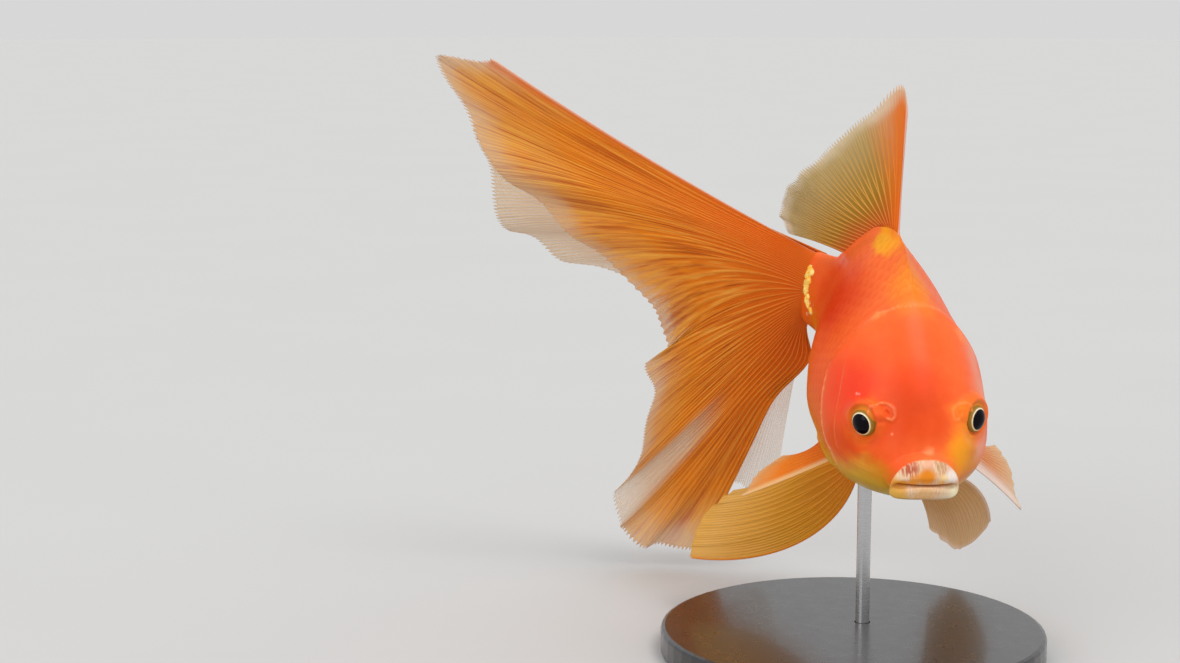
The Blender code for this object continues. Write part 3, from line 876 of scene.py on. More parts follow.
@dataclass(frozen=True)
class Mound:
    """A low mound at a fin's root, from one station and angle to another."""

    start: float
    end: float
    first: float
    last: float
    height: float
    width: float
    reach: float = 6.0


@dataclass(frozen=True)
class Lid:
    """The skin round an eye, by distances from the eye's axis, in millimetres."""

    depth: float = 2.25
    square: float = 4.2
    plain: float = 8.5
    lowest: float = -2.5
    highest: float = 1.5
    swell: float = 0.30
    swell_at: float = 4.4
    swell_width: float = 2.6
    rim: float = 0.30
    rim_at: float = 4.85
    rim_width: float = 0.45
    groove: float = 0.55
    groove_at: float = 3.95
    groove_width: float = 0.40


GILL_EDGE = Crease(0.60, 0.25, 8, 0.50, 0.45, 0.5)
CHEEK_EDGE = Crease(0.20, 0.3, 5, 0.22, 0.25, 0.45)
NOSTRIL = (
    Fold(((14.0, -48), (14.8, -44), (15.0, -38.5), (14.5, -33.5), (13.5, -29.5), (12.1, -27.4),
          (10.9, -28.4), (10.4, -31.5), (10.9, -34.5)), 0.50, 0.52),
    Fold(((13.3, -36.5), (13.3, -33.4), (12.5, -31.2), (11.6, -32.2)), 0.26, 0.38),
    Fold(((12.1, -34.0), (12.5, -34.8)), -0.42, 0.45),
    Fold(((13.0, -46), (12.6, -42), (12.2, -38)), 0.30, 1.1),
    Fold(((11.8, -48), (11.2, -44), (10.8, -39)), -0.30, 0.55))
DORSAL_MOUND = Mound(57.5, 81.5, 0.0, 0.0, 0.80, 1.6, 5.0)
PAIRED_MOUNDS = (Mound(29.2, 33.8, 129.0, 113.0, 0.75, 1.5),
                 Mound(39.0, 46.0, 163.0, 163.0, 1.2, 1.8),
                 Mound(70.0, 79.0, 164.0, 164.0, 0.9, 1.3))


@dataclass
class Skin:
    """One seamless skin over head, gill covers, jaws, trunk and tail stalk."""

    form: BodyForm
    mouth: Mouth
    columns: int = 352
    mouth_rows: int = 62
    head_rows: int = 124
    trunk_rows: int = 72
    cap_rows: int = 8
    depth: float = 0.3
    head_end: float = 36.0
    tail_cap: float = 3.6
    eye_places: tuple[tuple[float, float], tuple[float, float]] = ((15.1, 54.5), (14.1, 55.0))
    eye_radius: float = 4.6
    eye_depth: float = 2.6
    gaze: tuple[tuple[float, float], tuple[float, float]] = ((138.5, 17.0), (-127.0, 7.0))
    lid: Lid = Lid()
    nostril_shares: tuple[float, float] = (0.6, 1.0)
    nostril_rims: tuple[float, float] = (0.22, 0.42)
    wrinkle: float = 0.055
    cleft: float = 0.10
    gill_line: Curve = Curve(((0, 36.2), (21, 36.8), (30, 38), (44, 38.4), (58, 38.8), (66, 37.2),
                              (71, 35.8), (79, 33.5), (87, 30.2), (92, 26.6), (98, 22.4),
                              (106, 19.6), (125, 18), (150, 17)))
    cheek_line: Curve = Curve(((40, 35), (50, 32.4), (55, 30.2), (60, 27.6), (65, 25.4), (72, 23.2),
                               (80, 21.2), (86, 19.2), (93, 15.8), (105, 12), (130, 9)))

    def eye_centre(self, side: Side) -> Array:
        """Middle of an eyeball in the fish's frame."""
        station, angle = self.eye_places[side is Side.RIGHT]
        return (self.form.point(station, side.value * angle)
                - self.form.normal(station, side.value * angle) * self.eye_depth)

    def eye_axis(self, side: Side) -> Array:
        """Where an eye looks, by its swing from straight back and its rise."""
        return heading(*self.gaze[side is Side.RIGHT])

    def rows(self) -> tuple[Array, Array, Array]:
        """Ring or station of each row, and how far each is drawn in at the tail's end.

        Returns:
            Ring numbers of the mouth rows, stations of the body rows and their shares.
        """
        rings = np.linspace(0.0, self.mouth.last, self.mouth_rows + 1)
        head = np.linspace(self.mouth.JOIN, self.head_end, self.head_rows + 1)[1:]
        trunk = np.linspace(self.head_end, self.form.END, self.trunk_rows + 1)[1:]
        sweep = np.linspace(0.0, 1.0, self.cap_rows + 1)[1:] * math.pi / 2
        cap = self.form.END + self.tail_cap * np.sin(sweep)
        shares = np.concatenate([np.ones(len(head) + len(trunk)), np.cos(sweep)])
        return rings, np.concatenate([head, trunk, cap]), shares

    def rings(self, behind: float) -> Array:
        """The mouth's ring at each row, and one number for every row behind it."""
        found = np.full(len(self.stations), behind)
        found[:self.mouth_rows + 1] = self.rows()[0]
        return found

    def base(self) -> tuple[Array, Array]:
        """Points of the plain skin, and the station of each row.

        Returns:
            Points by row and column, and stations by row.
        """
        rings, stations, shares = self.rows()
        angles = np.arange(self.columns) * 360.0 / self.columns
        front = self.mouth.point(rings[:, None], angles[None, :])
        rear = self.form.point(stations[:, None], angles[None, :], -self.depth)
        middles = rear.mean(axis=1, keepdims=True)
        rear = middles + (rear - middles) * shares[:, None, None]
        ring_stations = (rings / self.mouth.last) ** 3 * self.mouth.JOIN
        return np.concatenate([front, rear]), np.concatenate([ring_stations, stations])

    def from_top(self) -> Array:
        """Angle of each column from the top, 0 to 180 degrees."""
        angles = np.arange(self.columns) * 360.0 / self.columns
        return np.minimum(angles, 360.0 - angles)

    def behind(self, line: Curve, degree: float = 0.4) -> Array:
        """How far each skin point lies behind a line round the body, square to the line.

        Args:
            line: Stations of the line by angle.
            degree: Millimetres round the body in one degree, near enough.

        Returns:
            Distances by row and column.
        """
        angles = self.from_top()
        slope = (line(angles + 0.5) - line(angles - 0.5)) / degree
        return (self.stations[:, None] - line(angles)[None, :]) / np.sqrt(1 + slope ** 2)[None, :]

    def path(self, knots: Sequence[tuple[float, float]], side: int = 1) -> Array:
        """Close points along a line drawn on the skin by stations and angles."""
        count = len(knots) - 1
        shares = np.linspace(0.0, count, 12 * count + 1)
        station, angle = (Curve(list(enumerate(sizes)))(shares) for sizes in zip(*knots))
        return self.form.point(station, angle * side, -self.depth)

    def relief(self, points: Array, normals: Array) -> tuple[Array, Array]:
        """Height of the modelled forms over the plain skin, and the pale rims, partly painted
        highlight on the raised edges.

        Args:
            points: The plain skin.
            normals: Its outward directions.

        Returns:
            Heights and rim strengths by row and column.
        """
        angles = self.from_top()[None, :]
        body = smooth(self.stations, 4.0, 7.0)[:, None]
        ragged = 0.12 * np.sin(angles * 1.9) + 0.08 * np.sin(angles * 4.7 + 1.0)
        gill, cheek = self.behind(self.gill_line) + ragged, self.behind(self.cheek_line)
        sides = (0.35 + 0.65 * smooth(angles, 44, 64)) * (1 - smooth(angles, 112, 138)) * body
        brow = smooth(angles, 50, 60) * (1 - smooth(angles, 90, 108)) * body
        height = sides * GILL_EDGE.over(gill) + brow * CHEEK_EDGE.over(cheek)
        broad = smooth(angles, 58, 76)
        rim = np.maximum(sides * bell(gill + 0.12 + 0.3 * broad, 0.42 + 0.55 * broad),
                         brow * 0.38 * (1 - smooth(angles, 84, 98)) * bell(cheek + 0.05, 0.34))
        for side in Side:
            fold = distance_to(points, self.path(NOSTRIL[0].path, -side.value), 2.0)
            rim = np.maximum(rim, self.nostril_rims[side is Side.RIGHT] * bell(fold, 0.36))
            height += self.eye_relief(points, normals, side)
            height += self.nostril_relief(points, side)
        height += self.fin_bases(points)
        height += self.jaw_folds()
        return height, rim

    def eye_relief(self, points: Array, normals: Array, side: Side) -> Array:
        """The skin turned to an eye's gaze, its swollen lid and the groove inside the lid."""
        lid, axis = self.lid, self.eye_axis(side)
        apart = points - self.eye_centre(side)
        along = apart @ axis
        radius = np.sqrt(np.maximum((apart ** 2).sum(axis=-1) - along ** 2, 0.0))
        facing = np.maximum(normals @ axis, 0.35)
        turned = (1 - smooth(radius, lid.square, lid.plain)) * (lid.depth - along) / facing
        swell = lid.swell * bell(np.maximum(radius - lid.swell_at, 0), lid.swell_width)
        rim = lid.rim * bell(radius - lid.rim_at, lid.rim_width)
        groove = -lid.groove * bell(radius - lid.groove_at, lid.groove_width)
        return np.where(along > 0, np.clip(turned, lid.lowest, lid.highest) + swell + rim
                        + groove, 0.0)

    def nostril_relief(self, points: Array, side: Side) -> Array:
        """The curled folds and pit of a nostril, plainer on the left."""
        return self.nostril_shares[side is Side.RIGHT] * sum(
            fold.height * bell(distance_to(points, self.path(fold.path, -side.value), 3.0),
                               fold.width) for fold in NOSTRIL)

    def fin_bases(self, points: Array) -> Array:
        """Low mounds that the fins grow out of."""
        shares = np.linspace(0.0, 1.0, 40)

        def over(mound: Mound, side: int) -> Array:
            """One mound's heights on one side."""
            root = self.form.point(mound.start + (mound.end - mound.start) * shares, side
                                   * (mound.first + (mound.last - mound.first) * shares),
                                   -self.depth)
            return mound.height * bell(distance_to(points, root, mound.reach), mound.width)

        height = over(DORSAL_MOUND, 1)
        for side in (1, -1):
            for mound in PAIRED_MOUNDS:
                height += over(mound, side)
        return height

    def jaw_folds(self) -> Array:
        """Fine upright wrinkles on the upper jaw and a crease beside the mouth."""
        angles, rings = self.from_top()[None, :], self.rings(0.0)
        band = (bell(rings - 6.4, 0.9) * (rings > 0))[:, None]
        ripple = np.sin(np.radians(angles) * 46) * (1 - smooth(angles, 52, 74))
        cleft = bell(rings - 5.4, 1.0)[:, None] * bell(angles, 3.2)
        return self.wrinkle * band * ripple - self.cleft * cleft * (rings > 0)[:, None]

    def build(self, finish: bpy.types.Material) -> bpy.types.Object:
        """Model the skin from a sphere whose rings become the body's.

        Args:
            finish: The skin's material.

        Returns:
            The skin piece.
        """
        points, self.stations = self.base()
        rows = len(points) - 1
        along = np.gradient(points, axis=0)
        around = np.roll(points, -1, axis=1) - np.roll(points, 1, axis=1)
        normals = unit(np.cross(around, along))
        self.height, rim = self.relief(points, normals)
        edge = np.minimum(np.arange(rows + 1), rows - np.arange(rows + 1))
        self.height *= smooth(edge, 0, 3)[:, None]
        points = points + normals * self.height[..., None]
        points[0], points[-1] = points[0].mean(axis=0), points[-1].mean(axis=0)
        piece = primitive(bpy.ops.mesh.primitive_uv_sphere_add, segments=self.columns,
                          ring_count=rows, radius=1)
        ball = coordinates(piece)
        row = np.rint(np.arccos(np.clip(ball[:, 2], -1, 1)) / math.pi * rows).astype(int)
        turn = np.arctan2(ball[:, 0], ball[:, 1]) / (2 * math.pi)
        column = np.rint(turn * self.columns).astype(int) % self.columns
        set_coordinates(piece, self.form.world(points[row, column]))
        make_faces_outward(piece)
        rings = self.rings(float(self.mouth.last))
        lip = smooth(rings, 2.4, 3.2) * (1 - smooth(rings, 7.0, 8.3))
        inner = 1 - smooth(rings, 1.6, 2.8)
        set_attributes(piece, turn=(self.from_top() / 180.0)[column], lip=lip[row],
                       inner=inner[row], rim=rim[row, column])
        return adopt(piece, "goldfish_skin", finish,
                     ("head", "trunk", "peduncle", "operculum_left", "operculum_right",
                      "upper_jaw", "lower_jaw"))

    def lift(self, station: Array, angle: Array) -> Array:
        """Height of the modelled skin over the plain skin at places behind the mouth.

        Args:
            station: Stations, an array of any shape.
            angle: Degrees round the body.

        Returns:
            Heights of the same shape.
        """
        start = self.mouth_rows + 1
        rows = np.interp(station, self.stations[start:],
                         np.arange(start, len(self.stations), dtype=float))
        columns = (angle / 360.0 * self.columns) % self.columns
        r0 = np.clip(rows.astype(int), 0, len(self.stations) - 2)
        c0 = columns.astype(int) % self.columns
        c1 = (c0 + 1) % self.columns
        fr, fc = rows - r0, columns - np.floor(columns)
        return ((self.height[r0, c0] * (1 - fc) + self.height[r0, c1] * fc) * (1 - fr)
                + (self.height[r0 + 1, c0] * (1 - fc) + self.height[r0 + 1, c1] * fc) * fr)


# ---------------------------------------------------------------------------- scales


@dataclass
class ScaleCoat:
    """Overlapping scales over the trunk, each a thin closed plate rooted in the skin."""

    skin: Skin
    around: int = 50
    largest: float = 2.15
    smallest: float = 1.0
    share_of_width: float = 0.72
    first_station: float = 18.0
    last_station: float = 89.0
    lines: int = 6
    plies: int = 6
    overlap: float = 2.0
    corner: float = 0.56
    half_width: float = 0.60
    crown: float = 0.05
    thickness: float = 0.07
    root_sink: float = 0.08
    tip_rise: float = 0.09
    bake_patch: float = 0.003
    bake_margin: float = 0.01
    bake_length: float = 96.0
    clear: float = 1.4
    sharp: float = 40.0

    def ring_angles(self, station: float, offset: float) -> tuple[Array, float]:
        """Angles evenly spaced along the skin at a station.

        Args:
            station: Where on the body.
            offset: Share of a step to start at.

        Returns:
            The angles and the spacing in millimetres.
        """
        angles = np.linspace(0.0, 360.0, 721)
        ring = self.skin.form.point(station, angles)
        steps = np.linalg.norm(np.diff(ring, axis=0), axis=1)
        length = np.concatenate([[0.0], np.cumsum(steps)])
        step = length[-1] / self.around
        return np.interp((np.arange(self.around) + offset) * step, length, angles), step

    def roots(self) -> Array:
        """Station, angle, length and width in degrees of every scale.

        Returns:
            One row for each scale.
        """
        found = []
        station, count = self.first_station, 0
        while station < self.last_station:
            angles, step = self.ring_angles(station, 0.5 * (count % 2))
            pace = min(max(step * self.share_of_width, self.smallest), self.largest)
            spread = ((np.roll(angles, -1) - np.roll(angles, 1)) % 360.0) / 2
            starts = self.skin.gill_line(np.minimum(angles, 360.0 - angles))
            for angle, wide, start in zip(angles, spread, starts):
                if station > start + self.clear - pace:
                    found.append((station, angle, pace, wide))
            station += pace
            count += 1
        return np.array(found)

    def plates(self, roots: Array) -> tuple[Array, Array]:
        """Points of the scales' outer faces, with the angles where they lie.

        Args:
            roots: Rows from the list of roots.

        Returns:
            Points and angles by scale, ply and line.
        """
        a = np.linspace(0.0, 1.0, self.plies)[None, :, None]
        b = np.linspace(-1.0, 1.0, self.lines + 1)[None, None, :]
        station, angle, pace, wide = (roots[:, i][:, None, None] for i in range(4))
        rounded = self.corner + (1 - self.corner) * np.sqrt(np.clip(1 - b * b, 0, 1))
        stations = station + a * (pace * self.overlap * rounded)
        angles = angle + b * wide * self.half_width * (0.86 + 0.14 * np.sin(math.pi * a))
        lift = (-self.root_sink + (self.root_sink + self.tip_rise) * a ** 0.8
                - self.crown * b * b) * np.clip(pace / self.largest, 0.5, 1.0)
        grow = -self.skin.depth + self.skin.lift(stations, angles) + lift
        return self.skin.form.point(stations, angles, grow), angles

    def plate_faces(self) -> tuple[Array, Array]:
        """Faces of one closed plate.

        Returns:
            Four corners for each face, and the outer face's vertices by ply and line.
        """
        plies, lines = self.plies, self.lines + 1
        size = plies * lines
        grid = np.arange(size).reshape(plies, lines)
        faces = []
        for i in range(plies - 1):
            for j in range(lines - 1):
                corners = (grid[i, j], grid[i, j + 1], grid[i + 1, j + 1], grid[i + 1, j])
                faces.append(corners)
                faces.append(tuple(corner + size for corner in reversed(corners)))
        rim = [*grid[0, :-1], *grid[:-1, -1], *grid[-1, :0:-1], *grid[:0:-1, 0]]
        for first, second in zip(rim, rim[1:] + rim[:1]):
            faces.append((second, first, first + size, second + size))
        return np.array(faces), grid

    def build(self, side: Side, finish: bpy.types.Material) -> bpy.types.Object:
        """Join one side's scales into a piece.

        Args:
            side: Which side of the fish.
            finish: The scales' material.

        Returns:
            The coat piece.
        """
        roots = self.roots()
        left = roots[:, 1] < 180.0
        roots = roots[left if side is Side.LEFT else ~left]
        outer, angles = self.plates(roots)
        count = len(roots)
        outward = unit(np.cross(np.gradient(outer, axis=2), np.gradient(outer, axis=1)))
        inner = outer - outward * self.thickness
        world = self.skin.form.world(np.concatenate([outer.reshape(count, -1, 3),
                                                     inner.reshape(count, -1, 3)], axis=1))
        faces, grid = self.plate_faces()
        quads = (faces[None] + (np.arange(count) * 2 * grid.size)[:, None, None]).reshape(-1, 4)
        mesh = bpy.data.meshes.new("scales")
        mesh.vertices.add(count * 2 * grid.size)
        mesh.vertices.foreach_set("co", world.astype(np.float32).ravel())
        mesh.loops.add(quads.size)
        mesh.loops.foreach_set("vertex_index", quads.astype(np.int32).ravel())
        mesh.polygons.add(len(quads))
        mesh.polygons.foreach_set("loop_start", np.arange(0, quads.size, 4, dtype=np.int32))
        mesh.update(calc_edges=True)
        mesh.validate()
        self.add_bake_map(mesh, roots, faces, grid)
        piece = bpy.data.objects.new("scales", mesh)
        bpy.context.scene.collection.objects.link(piece)
        make_faces_outward(piece)
        turned = np.minimum(angles % 360.0, 360.0 - angles % 360.0).reshape(count, -1) / 180.0
        rise = np.broadcast_to(np.linspace(0, 1, self.plies)[None, :, None], angles.shape)
        rise = rise.reshape(count, -1)
        zero = np.zeros(len(mesh.vertices))
        set_attributes(piece, turn=np.concatenate([turned, turned], axis=1),
                       tip=np.concatenate([rise, rise], axis=1), lip=zero, inner=zero, rim=zero)
        adopt(piece, "scales_" + side.word, finish)
        take(piece)
        bpy.ops.object.shade_smooth_by_angle(angle=math.radians(self.sharp))
        take()
        return piece

    def add_bake_map(self, mesh: bpy.types.Mesh, roots: Array, faces: Array,
                     grid: Array) -> None:
        """Lay each scale as a small patch at its root's place on an unwrapped skin."""
        plies, lines = grid.shape
        ply, line = np.divmod(np.arange(grid.size), lines)
        patch = np.stack([line / (lines - 1), ply / (plies - 1)], axis=1) * self.bake_patch
        local = np.concatenate([patch, patch])
        shares = np.stack([roots[:, 1] / 360.0, roots[:, 0] / self.bake_length], axis=1)
        places = self.bake_margin + (1 - 2 * self.bake_margin) * shares
        uv = places[:, None, :] + local[faces.ravel()][None, :, :]
        layer = mesh.uv_layers.new(name="OFBake")
        layer.data.foreach_set("uv", uv.astype(np.float32).ravel())


# ---------------------------------------------------------------------------- eyes


@dataclass
class Eye:
    """One eyeball: a domed lens in a thin pale iris ring."""

    skin: Skin
    side: Side
    pupil: float = 2.95
    ring: float = 3.18
    iris: float = 3.95
    # painted highlight: a pale spot laid on the upper iris
    light: Marking = Marking(0, 0, 3.5, (0.98, 0.93, 0.78), 0.6, 0.7)
    light_place: tuple[float, float, float] = (2.0, 1.0, 4.4)
    black: Colour = (0.002, 0.001, 0.003)
    socket_gap: float = 0.10
    ring_groove: float = 0.09
    rim_groove: float = 0.06

    def chord(self, width: float) -> float:
        """Straight distance from the eye's front to a circle on it, in metres."""
        radius = self.skin.eye_radius
        return 2 * radius * math.sin(0.5 * math.asin(width / radius)) * MM

    def material(self, spots: Spots) -> bpy.types.Material:
        """The eye's finish: black lens, cream iris with a painted highlight, dark rim.

        Args:
            spots: What lays the soft spots.

        Returns:
            The material.
        """
        made, g, shader = new_material("eye_gloss_" + self.side.word)
        world, centre = self.skin.form.world, self.skin.eye_centre(self.side)
        front = world(centre + self.skin.eye_axis(self.side) * self.skin.eye_radius)
        place = g.objects()
        apart = g.vector("DISTANCE", place, front)
        grain = g.noise(place, 2400.0, 3.0)
        iris = g.mix(g.step(grain, 0.35, 0.7), (0.80, 0.58, 0.26), (0.93, 0.84, 0.62))
        # painted highlight on the iris, offset up from the eye's centre
        across, back, up = self.light_place
        highlight_spot = world(centre + np.array([self.side.value * across, back, up]))
        iris = spots.lay(g, place, highlight_spot, self.light, iris)
        dusk = g.mix(grain, (0.22, 0.12, 0.012), (0.38, 0.21, 0.03))
        ring, pupil = self.chord(self.ring), self.chord(self.pupil)
        colour = g.mix(g.step(apart, ring - 0.00016, ring + 0.00026), iris, dusk)
        outside = g.step(apart, pupil - 0.00010, pupil + 0.00010)
        g.dress(shader, {
            "Base Color": g.mix(outside, self.black, colour),
            "Roughness": g.scaled(outside, 0.14, 0.10), "Normal": g.bump(grain, 0.00008, 0.4),
            "Coat Weight": 0.07, "Coat Roughness": 0.03, "Specular IOR Level": 0.07})
        return made

    def build(self, spots: Spots) -> bpy.types.Object:
        """Model the eyeball from a sphere whose pole faces outward.

        Args:
            spots: What lays the soft spots.

        Returns:
            The eye piece.
        """
        piece = primitive(bpy.ops.mesh.primitive_uv_sphere_add, segments=96, ring_count=72,
                          radius=1)
        ball = coordinates(piece)
        tilt = np.degrees(np.arccos(np.clip(ball[:, 2], -1, 1)))
        pupil, iris = (math.degrees(math.asin(width / self.skin.eye_radius))
                       for width in (self.pupil, self.iris))
        radius = (self.skin.eye_radius - self.socket_gap + self.socket_gap * bell(tilt, 26)
                  - self.ring_groove * bell(tilt - pupil - 1.0, 2.4)
                  - self.rim_groove * bell(tilt - iris - 1.5, 2.5))
        centre, axis = self.skin.eye_centre(self.side), self.skin.eye_axis(self.side)
        across = unit(np.cross(axis, np.array([0.0, 0.0, 1.0])))
        upward = np.cross(across, axis)
        turned = (ball[:, :1] * across + ball[:, 1:2] * upward + ball[:, 2:] * axis)
        set_coordinates(piece, self.skin.form.world(centre + turned * radius[:, None]))
        make_faces_outward(piece)
        return adopt(piece, "eyeball_" + self.side.word, self.material(spots),
                     ("eye_" + self.side.word,))


# ---------------------------------------------------------------------------- fins


@dataclass(frozen=True)
class Ray:
    """A fin ray: place on the root, length, and heading at root and tip in degrees."""

    place: float
    length: float
    swing_root: float
    swing_tip: float
    rise_root: float
    rise_tip: float


def rays(*rows: tuple[float, ...]) -> tuple[Ray, ...]:
    """Rays from rows of their sizes."""
    return tuple(Ray(*row) for row in rows)


TAIL_RIGHT = rays(
    (0.00, 113, -68, -75, 20, 31), (0.08, 125, -68, -75, 15, 28), (0.20, 111, -68, -75, 15, 14),
    (0.32, 88, -68, -72, 19, -3), (0.42, 65, -68, -72, 17, -24), (0.47, 51, -68, -72, 4, -52),
    (0.50, 52, -68, -72, -12, -66), (0.54, 59, -68, -72, -30, -50),
    (0.61, 64, -68, -72, -45, -52), (0.70, 79, -68, -72, -53, -58),
    (0.78, 101, -68, -75, -62, -55), (0.88, 112, -70, -75, -69, -62),
    (1.00, 103, -60, -78, -80, -72))
TAIL_LEFT = rays(
    (0.00, 108, -55, -60, 7, 9), (0.10, 118, -55, -60, 3, 1), (0.24, 113, -55, -60, -2, -13),
    (0.38, 92, -54, -59, -10, -22), (0.50, 60, -50, -51, -28, -30),
    (0.60, 70, -46, -48, -46, -54), (0.75, 90, -40, -42, -61, -70),
    (0.90, 88, -24, -20, -74, -84), (1.00, 76, -10, 0, -80, -90))
DORSAL = rays(
    (0.00, 35, 3, 3, 64, 74), (0.06, 40, 3, 0, 72, 61), (0.20, 33, -10, -15, 48, 42),
    (0.40, 30, -22, -30, 6, 30), (0.60, 31, -30, -45, -12, 18), (0.80, 29, -34, -48, -14, 5),
    (1.00, 20, -36, -48, -6, -8))
PECTORAL_RIGHT = rays(
    (0.00, 29, -72, -76, -41, -33), (0.35, 28, -60, -66, -44, -42),
    (0.70, 24, -48, -50, -46, -42), (1.00, 16, -40, -42, -61, -29))
PECTORAL_LEFT = rays(
    (0.00, 36, 76, 78, -41, -50), (0.35, 36, 66, 70, -43, -50), (0.70, 30, 56, 60, -43, -37),
    (1.00, 22, 46, 50, -50, -20))
PELVIC_RIGHT = rays(
    (0.00, 73, -65, -75, -92, 0), (0.35, 68, -65, -72, -79, -10), (0.70, 58, -60, -65, -61, -20),
    (1.00, 46, -55, -60, -46, -30))
PELVIC_LEFT = rays(
    (0.00, 57, 81, 49, -15, -70), (0.30, 66, 76, 41, -33, -69), (0.65, 69, 71, 37, -48, -63),
    (1.00, 60, 61, 31, -57, -56))
ANAL_RIGHT = rays(
    (0.00, 20, 2, 4, -62, -58), (0.40, 21, 0, 2, -54, -48), (1.00, 13, -4, -2, -44, -36))
ANAL_LEFT = rays(
    (0.00, 24, 8, 4, -62, -50), (0.40, 25, 2, -2, -52, -40), (1.00, 15, -4, -6, -40, -28))

FIRST_SPLIT = (0.22, 0.62)
SECOND_SPLIT = (0.55, 0.95)


FIRST_SHARE, SECOND_SHARE = 0.25, 0.125
RAY_FULL, RAY_TAPER = 1.25, 0.65


def ray_mask(place: Array, reach: Array, count: float, width: float) -> Array:
    """Strength of the branching rays over a fin.

    Args:
        place: Share along the fin's root.
        reach: Share from root to edge.
        count: How many rays the fin has at its root.
        width: Half width of a ray as a share of the spacing.

    Returns:
        1 on a ray and 0 between rays.
    """
    apart = np.abs((place * count) % 1.0 - 0.5)
    for split, share in ((FIRST_SPLIT, FIRST_SHARE), (SECOND_SPLIT, SECOND_SHARE)):
        apart = np.abs(apart - share * smooth(reach, *split))
    return bell(apart, width * (RAY_FULL - RAY_TAPER * reach))


def ray_group() -> bpy.types.NodeTree:
    """The same branching rays for the finishes, as a node group."""
    tree, g, entry, leave = new_group(
        "branching_rays", {"Place": FLOAT, "Reach": FLOAT, "Count": FLOAT, "Width": FLOAT},
        {"Mask": FLOAT})
    phase = g.math("FRACT", g.times(entry["Place"], entry["Count"]))
    apart = g.math("ABSOLUTE", g.math("SUBTRACT", phase, 0.5))
    for split, share in ((FIRST_SPLIT, FIRST_SHARE), (SECOND_SPLIT, SECOND_SHARE)):
        branch = g.step(entry["Reach"], *split, 0.0, share)
        apart = g.math("ABSOLUTE", g.math("SUBTRACT", apart, branch))
    width = g.times(entry["Width"], g.scaled(entry["Reach"], -RAY_TAPER, RAY_FULL))
    ratio = g.math("DIVIDE", apart, width)
    g.feed(leave["Mask"], g.math("EXPONENT", g.times(g.times(ratio, ratio), -1.0)))
    return tree


@dataclass(frozen=True)
class Streak:
    """A pale, clear streak along a fin: its place, half width and where it starts."""

    place: float
    half: float
    start: float
    colour: Colour = (0.78, 0.60, 0.42)


